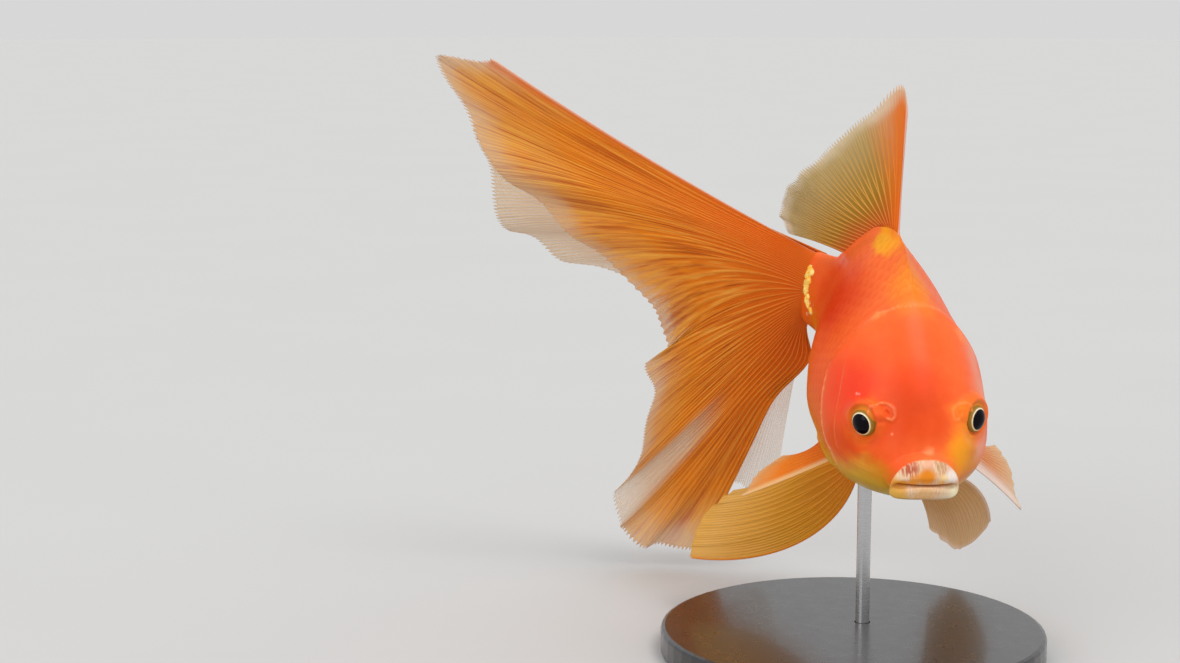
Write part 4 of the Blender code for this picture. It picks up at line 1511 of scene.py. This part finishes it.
@dataclass(frozen=True)
class FinFinish:
    """Colours and clearness of a fin, from root to edge and at its leading edge."""

    root: Colour
    middle: Colour
    edge: Colour
    ray: Colour
    root_alpha: float
    middle_alpha: float
    edge_alpha: float
    ray_alpha: float = 0.35
    ray_tint: float = 0.6
    middle_at: float = 0.5
    lead: Colour = (0.85, 0.28, 0.02)
    lead_width: float = 0.05
    lead_alpha: float = 0.95
    glow: float = 0.35
    deep: Colour = (0.70, 0.13, 0.004)
    # pale streaks along the rays: partly the fin's own gold, partly a painted highlight
    pale: Colour = (1.00, 0.52, 0.12)
    bands: float = 0.0
    ray_width: float = 0.105
    ray_fade: float = 0.0
    hem: Colour = (0.95, 0.60, 0.42)
    hem_width: float = 0.0
    margin: Colour = (0.80, 0.60, 0.42)
    margin_at: float = 0.88
    margin_share: float = 0.0
    clear_from: float = 2.0
    edge_at: float = 0.97
    wander: float = 0.22
    strand_shade: Colour = (0.72, 0.50, 0.40)
    strands: tuple[float, float] = (5.0, 2.5)
    wide_bands: tuple[float, float] = (1.3, 1.1)
    clear_width: float = 0.15
    clear_alpha: float = 0.38
    least_alpha: float = 0.05
    relief: float = 0.00020
    relief_strength: float = 0.35
    wetness: float = 0.08
    wet_roughness: float = 0.25
    gloss: float = 0.25

    def along(self, g: Graph, depth: Any, root: Colour, middle: Colour,
              edge: Colour) -> bpy.types.NodeSocket:
        """A colour that goes from root over middle to edge."""
        return g.ramp(depth, ((0.0, root), (self.middle_at, middle), (self.edge_at, edge)))

    def material(self, name: str, lines: bpy.types.NodeTree, count: float,
                 streak: Streak | None = None) -> bpy.types.Material:
        """The fin's material.

        Args:
            name: The material's name.
            lines: The shared group of branching rays.
            count: How many rays the fin has.
            streak: A pale clear streak, if it has one.

        Returns:
            The material.
        """
        made, g, shader = new_material(name)
        uv = g.node("ShaderNodeUVMap", uv_map="FinMap").outputs["UV"]
        across = g.node("ShaderNodeSeparateXYZ", {"Vector": uv}).outputs
        place, reach = across["X"], across["Y"]
        wander = g.math("SUBTRACT", g.noise(g.objects(), 55.0, 3.0), 0.5)
        depth = g.scaled(wander, self.wander, reach)
        mask = g.times(g.group(lines, {"Place": place, "Reach": reach, "Count": count,
                                       "Width": self.ray_width})["Mask"],
                       g.step(reach, 0.35, 0.75, 1.0, 1.0 - self.ray_fade))
        strands, wide = (
            g.noise(g.flat(g.times(place, count * fine), g.times(reach, long)), scale, 3.0, 0.6)
            for (fine, long), scale in ((self.strands, 3.0), (self.wide_bands, 2.6)))
        lead = g.step(g.scaled(wander, 0.03, place), 0.25 * self.lead_width, self.lead_width,
                      1.0, 0.0)
        colour = self.along(g, depth, self.root, self.middle, self.edge)
        colour = g.mix(g.times(mask, self.ray_tint), colour, self.ray)
        colour = g.tint(g.times(g.step(strands, 0.45, 0.75), 0.30), colour, self.strand_shade)
        share = g.times(g.step(reach, 0.12, 0.5), self.bands)
        colour = g.mix(g.times(g.step(wide, 0.50, 0.66), share), colour, self.deep)
        # pale streaks: partly the fin's gold, partly a painted highlight
        colour = g.mix(g.times(g.step(wide, 0.48, 0.34), share), colour, self.pale)
        colour = g.mix(g.times(lead, 0.85), colour, self.lead)
        margin = g.times(g.step(depth, self.margin_at, 1.02), self.margin_share)
        colour = g.mix(margin, colour, self.margin)
        if self.hem_width:
            hem = g.step(place, 0.5 * self.hem_width, self.hem_width, 0.92, 0.0)
            colour = g.mix(hem, colour, self.hem)
        clear = self.along(g, depth, (self.root_alpha,) * 3, (self.middle_alpha,) * 3,
                           (self.edge_alpha,) * 3)
        alpha = g.scaled(mask, self.ray_alpha, clear)
        alpha = g.scaled(g.math("SUBTRACT", strands, 0.5), 0.25, alpha)
        alpha = g.math("MAXIMUM", alpha, g.times(lead, self.lead_alpha))
        if streak:
            off = g.math("ABSOLUTE", g.math("SUBTRACT", place, streak.place))
            band = g.times(g.step(off, 0.3 * streak.half, streak.half, 1.0, 0.0),
                           g.step(reach, streak.start, streak.start + 0.25))
            colour = g.mix(g.times(band, 0.8), colour, streak.colour)
            alpha = g.math("SUBTRACT", alpha, g.times(band, 0.30))
        if self.clear_from < 1.0:
            end = self.clear_from + self.clear_width
            alpha = g.times(alpha, g.step(place, self.clear_from, end, 1.0, self.clear_alpha))
        alpha = g.math("MINIMUM", g.math("MAXIMUM", alpha, self.least_alpha), 1.0)
        normal = g.bump(g.math("ADD", mask, strands), self.relief, self.relief_strength)
        g.dress(shader, {
            "Base Color": colour, "Roughness": g.scaled(strands, 0.2, 0.32), "Normal": normal,
            "Coat Weight": self.wetness, "Coat Roughness": self.wet_roughness,
            "Specular IOR Level": self.gloss})
        through = g.node("ShaderNodeBsdfTranslucent", {"Color": colour, "Normal": normal})
        body = g.node("ShaderNodeMixShader", {0: self.glow, 1: shader.outputs[0],
                                              2: through.outputs[0]})
        clear_shader = g.node("ShaderNodeBsdfTransparent")
        whole = g.node("ShaderNodeMixShader", {0: alpha, 1: clear_shader.outputs[0],
                                               2: body.outputs[0]})
        g.feed(made.node_tree.nodes["Material Output"].inputs["Surface"], whole.outputs[0])
        return made


@dataclass(frozen=True)
class Pouch:
    """Where the last rays of a fin stand out from their even sweep, in millimetres."""

    shift: tuple[float, float, float]
    at: float
    width: float
    start: float


def heading(swing: Array | float, rise: Array | float) -> Array:
    """Unit vectors at swings from straight back and rises above level, in degrees."""
    s, r = np.radians(swing), np.radians(rise)
    return np.stack([np.sin(s) * np.cos(r), np.cos(s) * np.cos(r), np.sin(r)], axis=-1)


@dataclass
class Fin:
    """A fin: a thin web with branching rays that follows its solid's middle."""

    name: str
    node: str
    sections: tuple[Ray, ...]
    root: Callable[[Array], Array]
    finish: FinFinish
    count: float
    columns: int
    rows: int
    fringe: float
    sink: float
    ruffles: float
    ruffle_swing: float
    span: tuple[float, float] = (0.0, 1.0)
    folds: float = 0.0
    fold_swing: float = 5.0
    spikes: float = 0.0
    thick: float = 0.50
    thin: float = 0.14
    streak: Streak | None = None
    pouch: Pouch | None = None
    lead_thick: float = 0.02
    ray_thick: float = 0.1

    def sheet(self, place: Array) -> Array:
        """Points of the fin's middle in the fish's frame, by place along the root and row."""
        length, swing_root, swing_tip, rise_root, rise_tip = (
            Curve([(ray.place, getattr(ray, name)) for ray in self.sections])(place)
            for name in ("length", "swing_root", "swing_tip", "rise_root", "rise_tip"))
        tips = ray_mask(place, np.ones_like(place), self.count, self.ray_thick)
        teeth = 0.5 + 0.5 * np.sin(place * 23.0 + 3.0 * np.sin(place * 11.0))
        length = length * (1 - self.fringe * (0.10 * (1 - tips) + 0.90 * teeth)
                           - self.spikes * (1 - tips))
        inner = smooth(place, self.span[0] + 0.10, self.span[0] + 0.22)
        waves = self.ruffles * place + 0.35 * np.sin(2 * math.pi * 2.3 * place)
        points = np.empty((len(place), self.rows + 1, 3))
        points[:, 0] = self.root(place) - heading(swing_root, rise_root) * self.sink
        total = length + self.sink
        for row in range(self.rows):
            s = (row + 0.5) / self.rows * total
            t = np.clip((s - self.sink) / length, 0.0, 1.0)
            fold = self.fold_swing * np.sin(2 * math.pi * self.folds * place) * t * t
            ruffle = (self.ruffle_swing * np.sin(2 * math.pi * waves + 4 * t)
                      * (0.65 + 0.35 * np.sin(9.0 * place)) * t ** 3 * inner)
            swing = swing_root + (swing_tip - swing_root) * t + fold + ruffle
            rise = rise_root + (rise_tip - rise_root) * t + 0.5 * ruffle
            points[:, row + 1] = (points[:, row]
                                  + heading(swing, rise) * (total / self.rows)[:, None])
        if self.pouch:
            reach = np.linspace(0.0, 1.0, self.rows + 1)
            share = (smooth(place, self.pouch.start, 1.0)[:, None]
                     * bell(reach - self.pouch.at, self.pouch.width)[None, :])
            points += share[..., None] * np.array(self.pouch.shift)
        return points

    def thickness_share(self, place: Array, reach: Array) -> Array:
        """How thick the web is at each vertex, 0 at its thinnest and 1 at its thickest."""
        ray = ray_mask(place, reach, self.count, self.ray_thick)
        lead = 1 - smooth(place - self.span[0], 0.0, self.lead_thick)
        swell = 1 - smooth(reach, 0.0, 0.12)
        share = np.maximum(ray * (0.85 - 0.6 * reach), np.maximum(lead * 0.8, swell))
        return np.clip(share, 0.0, 1.0)

    def build(self, form: BodyForm, lines: bpy.types.NodeTree) -> bpy.types.Object:
        """Model the fin from a grid, thickened more at its rays than between them.

        Args:
            form: The body.
            lines: The shared group of branching rays.

        Returns:
            The fin piece.
        """
        piece = primitive(bpy.ops.mesh.primitive_grid_add, x_subdivisions=self.columns,
                          y_subdivisions=self.rows, size=2)
        flat = coordinates(piece)
        column = np.rint((flat[:, 0] + 1) / 2 * self.columns).astype(int)
        row = np.rint((flat[:, 1] + 1) / 2 * self.rows).astype(int)
        place = (self.span[0] + (self.span[1] - self.span[0])
                 * np.linspace(0, 1, self.columns + 1))
        set_coordinates(piece, form.world(self.sheet(place)[column, row]))
        place, reach = place[column], row / self.rows
        for layer in list(piece.data.uv_layers):
            piece.data.uv_layers.remove(layer)
        layer = piece.data.uv_layers.new(name="FinMap")
        corner = np.empty(len(piece.data.loops), dtype=np.int32)
        piece.data.loops.foreach_get("vertex_index", corner)
        uv = np.stack([place, reach], axis=1)[corner]
        layer.data.foreach_set("uv", uv.astype(np.float32).ravel())
        group = piece.vertex_groups.new(name="ray")
        for index, share in enumerate(self.thickness_share(place, reach)):
            group.add((index,), float(share), "REPLACE")
        solid = piece.modifiers.new("web", "SOLIDIFY")
        solid.thickness = self.thick * MM
        solid.offset = 0.0
        solid.vertex_group = "ray"
        solid.thickness_vertex_group = self.thin / self.thick
        take(piece)
        bpy.ops.object.modifier_apply(modifier=solid.name)
        piece.vertex_groups.clear()
        finish = self.finish.material(self.name + "_web", lines, self.count, self.streak)
        return adopt(piece, self.name, finish, (self.node,))


TAIL_NEAR = FinFinish((0.92, 0.17, 0.003), (0.93, 0.30, 0.003), (0.84, 0.45, 0.11),
                      (1.00, 0.50, 0.06), 1.0, 1.0, 0.60, 0.12, 0.50, 0.70,
                      (0.92, 0.24, 0.02), 0.030, 0.9, bands=0.72, deep=(0.60, 0.105, 0.002),
                      pale=(1.0, 0.56, 0.08),
                      hem=(0.92, 0.50, 0.32), hem_width=0.007, margin_at=0.86,
                      margin_share=0.6)
TAIL_FAR = FinFinish((0.90, 0.22, 0.02), (0.78, 0.42, 0.14), (0.70, 0.52, 0.32),
                     (0.86, 0.52, 0.20), 0.95, 0.62, 0.36, 0.20, 0.5, 0.4, clear_from=0.76)
DORSAL_WEB = FinFinish((0.78, 0.10, 0.003), (0.48, 0.255, 0.010), (0.50, 0.37, 0.09),
                       (1.00, 0.56, 0.12), 1.0, 0.93, 0.62, 0.15, 1.0, 0.34,
                       (0.97, 0.23, 0.006), 0.26, 1.0, ray_width=0.075, ray_fade=0.55,
                       hem=(0.96, 0.58, 0.46), hem_width=0.022, margin=(0.84, 0.70, 0.50),
                       margin_share=0.75)
PECTORAL_NEAR = FinFinish((0.95, 0.20, 0.006), (0.98, 0.28, 0.006), (0.90, 0.48, 0.16),
                          (1.00, 0.44, 0.06), 1.0, 0.97, 0.75, 0.1, 0.45, 0.6,
                          (1.00, 0.72, 0.34), 0.30, margin=(0.92, 0.62, 0.34),
                          margin_share=0.6)
PECTORAL_FAR = FinFinish((0.88, 0.30, 0.08), (0.90, 0.34, 0.08), (0.90, 0.50, 0.16),
                         (0.95, 0.58, 0.34), 1.0, 0.85, 0.50, 0.2, 0.6, 0.5,
                         (1.00, 0.90, 0.84), 0.62, 1.0, margin=(0.95, 0.66, 0.30),
                         margin_share=0.5)
PELVIC_NEAR = FinFinish((0.86, 0.28, 0.006), (0.80, 0.38, 0.016), (0.80, 0.48, 0.10),
                        (0.98, 0.52, 0.07), 1.0, 0.93, 0.78, 0.10, 0.45, 0.5,
                        (0.86, 0.28, 0.006), 0.05)
PELVIC_FAR = FinFinish((0.80, 0.42, 0.08), (0.80, 0.46, 0.13), (0.82, 0.53, 0.22),
                       (0.86, 0.60, 0.34), 0.9, 0.85, 0.70, 0.12, 0.4, 0.5,
                       (0.90, 0.74, 0.56), 0.05, hem=(0.94, 0.74, 0.60), hem_width=0.05,
                       margin=(0.95, 0.76, 0.62), margin_at=0.93, margin_share=0.8)
ANAL_WEB = FinFinish((0.90, 0.24, 0.01), (0.80, 0.34, 0.03), (0.74, 0.50, 0.20),
                     (0.92, 0.48, 0.08), 1.0, 0.85, 0.55, 0.2, 0.5, 0.5)


@dataclass(frozen=True)
class PairedFin:
    """A left and a right fin of one kind, of which the right one is nearer to the camera."""

    kind: str
    shapes: tuple[tuple[Ray, ...], tuple[Ray, ...]]
    finishes: tuple[FinFinish, FinFinish]
    stations: tuple[float, float]
    angles: tuple[float, float]
    count: int
    columns: int
    rows: int
    fringe: float
    pouches: tuple[Pouch | None, Pouch | None] = (None, None)


PAIRED_FINS = (
    PairedFin("pectoral", (PECTORAL_LEFT, PECTORAL_RIGHT), (PECTORAL_FAR, PECTORAL_NEAR),
              (30.0, 33.0), (128.0, 114.0), 9, 144, 76, 0.035),
    PairedFin("pelvic", (PELVIC_LEFT, PELVIC_RIGHT), (PELVIC_FAR, PELVIC_NEAR),
              (40.0, 45.0), (163.0, 163.0), 10, 168, 104, 0.012,
              (None, Pouch((-1.0, 0.0, 4.0), 0.34, 0.26, 0.45))),
    PairedFin("anal", (ANAL_LEFT, ANAL_RIGHT), (ANAL_WEB, ANAL_WEB),
              (71.0, 78.0), (164.0, 164.0), 6, 96, 60, 0.05))


@dataclass
class FinSet:
    """Every fin, rooted where its solid is."""

    form: BodyForm
    clearance: float = 0.75
    tail_station: float = 92.6
    tail_angles: tuple[float, float] = (11.0, 169.0)
    tail_pouch: Pouch = Pouch((6.5, 0.0, 0.0), 0.18, 0.11, 0.78)
    tail_streak: Streak = Streak(0.80, 0.055, 0.40)
    dorsal_stations: tuple[float, float] = (56.0, 81.5)
    fork: float = 0.5

    def along(self, stations: tuple[float, float], angles: tuple[float, float],
              sign: int, grow: float) -> Callable[[Array], Array]:
        """A root line over the body.

        Args:
            stations: First and last station.
            angles: First and last angle.
            sign: Side of the body.
            grow: How far above the solid.

        Returns:
            A function from places to points.
        """
        def root(place: Array) -> Array:
            """Points along the root."""
            station = stations[0] + (stations[1] - stations[0]) * place
            angle = angles[0] + (angles[1] - angles[0]) * place
            return self.form.point(station, sign * angle, grow)
        return root

    def dorsal(self) -> Fin:
        """The fin on the back."""
        root = self.along(self.dorsal_stations, (0.0, 0.0), 1, self.clearance)
        return Fin("dorsal_web", "dorsal_fin", DORSAL, root, DORSAL_WEB, 22, 360, 84,
                   fringe=0.03, sink=1.8, ruffles=4, ruffle_swing=4, spikes=0.05)

    def tail_lobe(self, side: Side, lobe: str, span: tuple[float, float]) -> Fin:
        """One lobe of the tail's half on one side, over a span of its rays."""
        near = side is Side.RIGHT
        pouched = near and lobe == "lower"
        root = self.along((self.tail_station,) * 2, self.tail_angles, side.value, 0.0)
        return Fin(f"tail_{lobe}_web_{side.word}", f"tail_{lobe}_{side.word}",
                   TAIL_RIGHT if near else TAIL_LEFT, root, TAIL_NEAR if near else TAIL_FAR,
                   46, 340, 120, fringe=0.045, sink=2.4, ruffles=9, ruffle_swing=7, span=span,
                   folds=2.5, spikes=0.012, streak=self.tail_streak if pouched else None,
                   pouch=self.tail_pouch if pouched else None)

    def paired(self, pair: PairedFin, side: Side) -> Fin:
        """One fin of a pair."""
        near = side is Side.RIGHT
        root = self.along(pair.stations, pair.angles, side.value, self.clearance)
        return Fin(f"{pair.kind}_web_{side.word}", f"{pair.kind}_fin_{side.word}",
                   pair.shapes[near], root, pair.finishes[near], pair.count, pair.columns,
                   pair.rows, fringe=pair.fringe, sink=1.6, ruffles=4, ruffle_swing=2.2,
                   thick=0.4, lead_thick=0.06, pouch=pair.pouches[near])

    def fins(self) -> list[Fin]:
        """The fins in order."""
        found = [self.dorsal()]
        for side in Side:
            found.append(self.tail_lobe(side, "upper", (0.0, self.fork)))
            found.append(self.tail_lobe(side, "lower", (self.fork, 1.0)))
            found.extend(self.paired(pair, side) for pair in PAIRED_FINS)
        return found


# ---------------------------------------------------------------------------- hinge beads


@dataclass
class HingeBeads:
    """A broken column of small gold lumps where the tail joins its stalk."""

    form: BodyForm
    line: Curve = Curve(((40, 91.0), (50, 91.0), (83, 90.0), (106, 84.6)))
    first: float = 48.0
    last: float = 104.0
    count: int = 22
    sway: float = 0.8
    sink: float = 0.25
    smallest: float = 0.62
    growth: float = 0.84
    lumpiness: float = 0.16
    flatness: float = 0.45

    def material(self) -> bpy.types.Material:
        """A pale gold, glossy finish, its bright yellow partly a painted highlight of small
        overlapping scales.
        """
        made, g, shader = new_material("hinge_gold")
        tone = g.noise(g.objects(), 900.0, 3.0)
        # bright yellow-gold: partly the beads' own gold, partly a painted highlight
        g.dress(shader, {
            "Base Color": g.mix(g.step(tone, 0.3, 0.7), (1.0, 0.52, 0.02), (1.0, 0.80, 0.22)),
            "Roughness": g.scaled(tone, 0.2, 0.18), "Coat Weight": 0.4})
        return made

    def bead(self, index: int, angle: float, side: Side) -> bpy.types.Object:
        """One lumpy bead, a little different from the others.

        Args:
            index: Its number in the column.
            angle: Degrees from the top.
            side: Which side of the tail.

        Returns:
            The bead.
        """
        sway = math.sin(index * 2.4) + 0.5 * math.sin(index * 5.3)
        station = float(self.line(angle)) + self.sway * sway
        place = self.form.point(station, side.value * angle, -self.sink)
        outward = self.form.normal(station, side.value * angle)
        size = self.smallest + self.growth * math.sin(index * 1.9 + 0.6) ** 2
        made = primitive(bpy.ops.mesh.primitive_ico_sphere_add, subdivisions=3, radius=1)
        points = coordinates(made)
        lumps = 1 + self.lumpiness * np.sin(points[:, 0] * 4 + index) * np.cos(points[:, 1] * 5)
        points = points * lumps[:, None] * size
        points -= outward * (points @ outward * self.flatness)[:, None]
        set_coordinates(made, self.form.world(points + place))
        return made

    def build(self, side: Side, finish: bpy.types.Material) -> bpy.types.Object:
        """Copy the bead down the hinge and join the copies.

        Args:
            side: Which side of the tail.
            finish: The beads' material.

        Returns:
            The joined piece.
        """
        angles = np.linspace(self.first, self.last, self.count)
        take(*[self.bead(index, float(angle), side) for index, angle in enumerate(angles)])
        bpy.ops.object.join()
        return adopt(bpy.context.object, "hinge_beads_" + side.word, finish)


# ---------------------------------------------------------------------------- stand


@dataclass
class Stand:
    """A turned black disc and a slim steel rod."""

    def lacquer(self) -> bpy.types.Material:
        """Satin black lacquer with fine polishing marks and a little dust."""
        made, g, shader = new_material("black_lacquer_finish")
        swirl = g.noise(g.objects((1.0, 1.0, 6.0)), 260.0, 5.0, 0.65)
        dust = g.step(g.noise(g.objects(), 2200.0, 2.0), 0.72, 0.82)
        colour = g.mix(swirl, (0.010, 0.010, 0.012), (0.020, 0.019, 0.021))
        g.dress(shader, {
            "Base Color": g.mix(g.times(dust, 0.05), colour, (0.4, 0.38, 0.35)),
            "Roughness": g.scaled(swirl, 0.18, 0.20), "Coat Weight": 0.35,
            "Coat Roughness": 0.12})
        return made

    def steel(self) -> bpy.types.Material:
        """Steel brushed round the rod."""
        made, g, shader = new_material("brushed_steel_finish")
        brushed = g.noise(g.objects((40.0, 40.0, 4000.0)), 1.0, 3.0)
        g.dress(shader, {
            "Base Color": g.mix(brushed, (0.48, 0.48, 0.49), (0.66, 0.66, 0.67)),
            "Roughness": g.scaled(brushed, 0.16, 0.20), "Metallic": 1.0})
        return made

    def build(self) -> None:
        """Dress the stand's own solids."""
        for name, finish in (("stand_base", self.lacquer()), ("stand_rod", self.steel())):
            node = frame["nodes"][name]
            node = bpy.data.objects[node] if isinstance(node, str) else node
            node.data.materials.clear()
            node.data.materials.append(finish)
            LOG.info("%s: dressed", name)


# ---------------------------------------------------------------------------- studio


@dataclass
class Studio:
    """Pale floor, soft light and the camera."""

    azimuth: float = -8.0
    elevation: float = 9.0
    distance: float = 0.6218
    lens: float = 70.0
    aim: tuple[float, float, float] = (0.010, -0.0286, 0.0739)
    shift_right: float = -0.08916
    shift_up: float = 0.02371
    floor_radius: float = 6.0
    key: tuple[float, float, float] = (0.25, -0.60, 0.95)
    key_colour: Colour = (1.0, 0.985, 0.96)
    fill: tuple[float, float, float] = (-0.70, -0.60, 0.55)

    def camera(self) -> None:
        """Set the camera at the wanted angle."""
        a, e = math.radians(self.azimuth), math.radians(self.elevation)
        back = Vector((math.sin(a) * math.cos(e), -math.cos(a) * math.cos(e), math.sin(e)))
        right = Vector((math.cos(a), math.sin(a), 0.0))
        up = back.cross(right)
        data = bpy.data.cameras.new("camera")
        data.lens, data.sensor_width = self.lens, 36.0
        data.clip_start, data.clip_end = 0.01, 20.0
        camera = bpy.data.objects.new("camera", data)
        camera.location = (Vector(self.aim) + back * self.distance + right * self.shift_right
                           + up * self.shift_up)
        camera.rotation_euler = back.to_track_quat("Z", "Y").to_euler()
        bpy.context.scene.collection.objects.link(camera)
        bpy.context.scene.camera = camera

    def floor(self) -> None:
        """A wide pale floor."""
        piece = primitive(bpy.ops.mesh.primitive_circle_add, vertices=96, radius=self.floor_radius,
                          fill_type="NGON", location=(0, 0, 0))
        piece.name = "floor"
        made, g, shader = new_material("pale_floor")
        tone = g.noise(g.objects(), 9.0, 3.0)
        g.dress(shader, {
            "Base Color": g.mix(tone, (0.540, 0.540, 0.535), (0.560, 0.560, 0.555)),
            "Roughness": 0.9, "Specular IOR Level": 0.05})
        piece.data.materials.append(made)

    def sun(self, name: str, place: tuple[float, float, float], strength: float,
            spread: float, colour: Colour = (1.0, 1.0, 1.0)) -> None:
        """One soft, even light from a far place.

        Args:
            name: The light's name.
            place: Where it shines from.
            strength: How strong it is.
            spread: How wide it looks, in degrees.
            colour: Its colour.
        """
        data = bpy.data.lights.new(name, "SUN")
        data.energy, data.angle, data.color = strength, math.radians(spread), colour
        lamp = bpy.data.objects.new(name, data)
        lamp.location = place
        lamp.rotation_euler = Vector(place).to_track_quat("Z", "Y").to_euler()
        bpy.context.scene.collection.objects.link(lamp)

    def sky(self) -> None:
        """A soft sky, a little brighter overhead than at the floor's far edge."""
        world = bpy.data.worlds.new("studio")
        world.use_nodes = True
        g = Graph(world.node_tree)
        way = g.node("ShaderNodeTexCoord").outputs["Generated"]
        height = g.node("ShaderNodeSeparateXYZ", {"Vector": way}).outputs["Z"]
        tone = g.ramp(height, ((0.10, (0.68, 0.68, 0.68)), (0.55, (0.82, 0.82, 0.83))))
        g.dress(world.node_tree.nodes["Background"], {"Color": tone, "Strength": 1.0})
        bpy.context.scene.world = world

    def build(self) -> None:
        """Set floor, lights, sky and camera."""
        self.floor()
        self.sky()
        self.sun("key", self.key, 1.2, 25.0, self.key_colour)
        self.sun("fill", self.fill, 0.85, 40.0)
        bpy.context.scene.view_settings.view_transform = "Standard"
        self.camera()


# ---------------------------------------------------------------------------- making


def main() -> None:
    """Build every piece in order."""
    logging.basicConfig(level=logging.INFO, format="%(name)s %(message)s")
    Studio().build()
    form = BodyForm()
    mouth = Mouth(form)
    skin = Skin(form, mouth)
    palette = Palette(form, mouth, [form.world(skin.eye_centre(side)) for side in Side])
    marks_and_painted_light = palette.build()
    skin.build(SkinFinish("goldfish_skin_finish", 0.00008, 0.05).material(marks_and_painted_light))
    coat, coat_finish = ScaleCoat(skin), SkinFinish("scale_finish", 0.00005, 0.04).material(marks_and_painted_light)
    for side in Side:
        coat.build(side, coat_finish)
        Eye(skin, side).build(palette.spots)
    lines = ray_group()
    for fin in FinSet(form).fins():
        fin.build(form, lines)
    beads = HingeBeads(form)
    gold = beads.material()
    for side in Side:
        beads.build(side, gold)
    Stand().build()


if __name__ == "__main__":
    main()
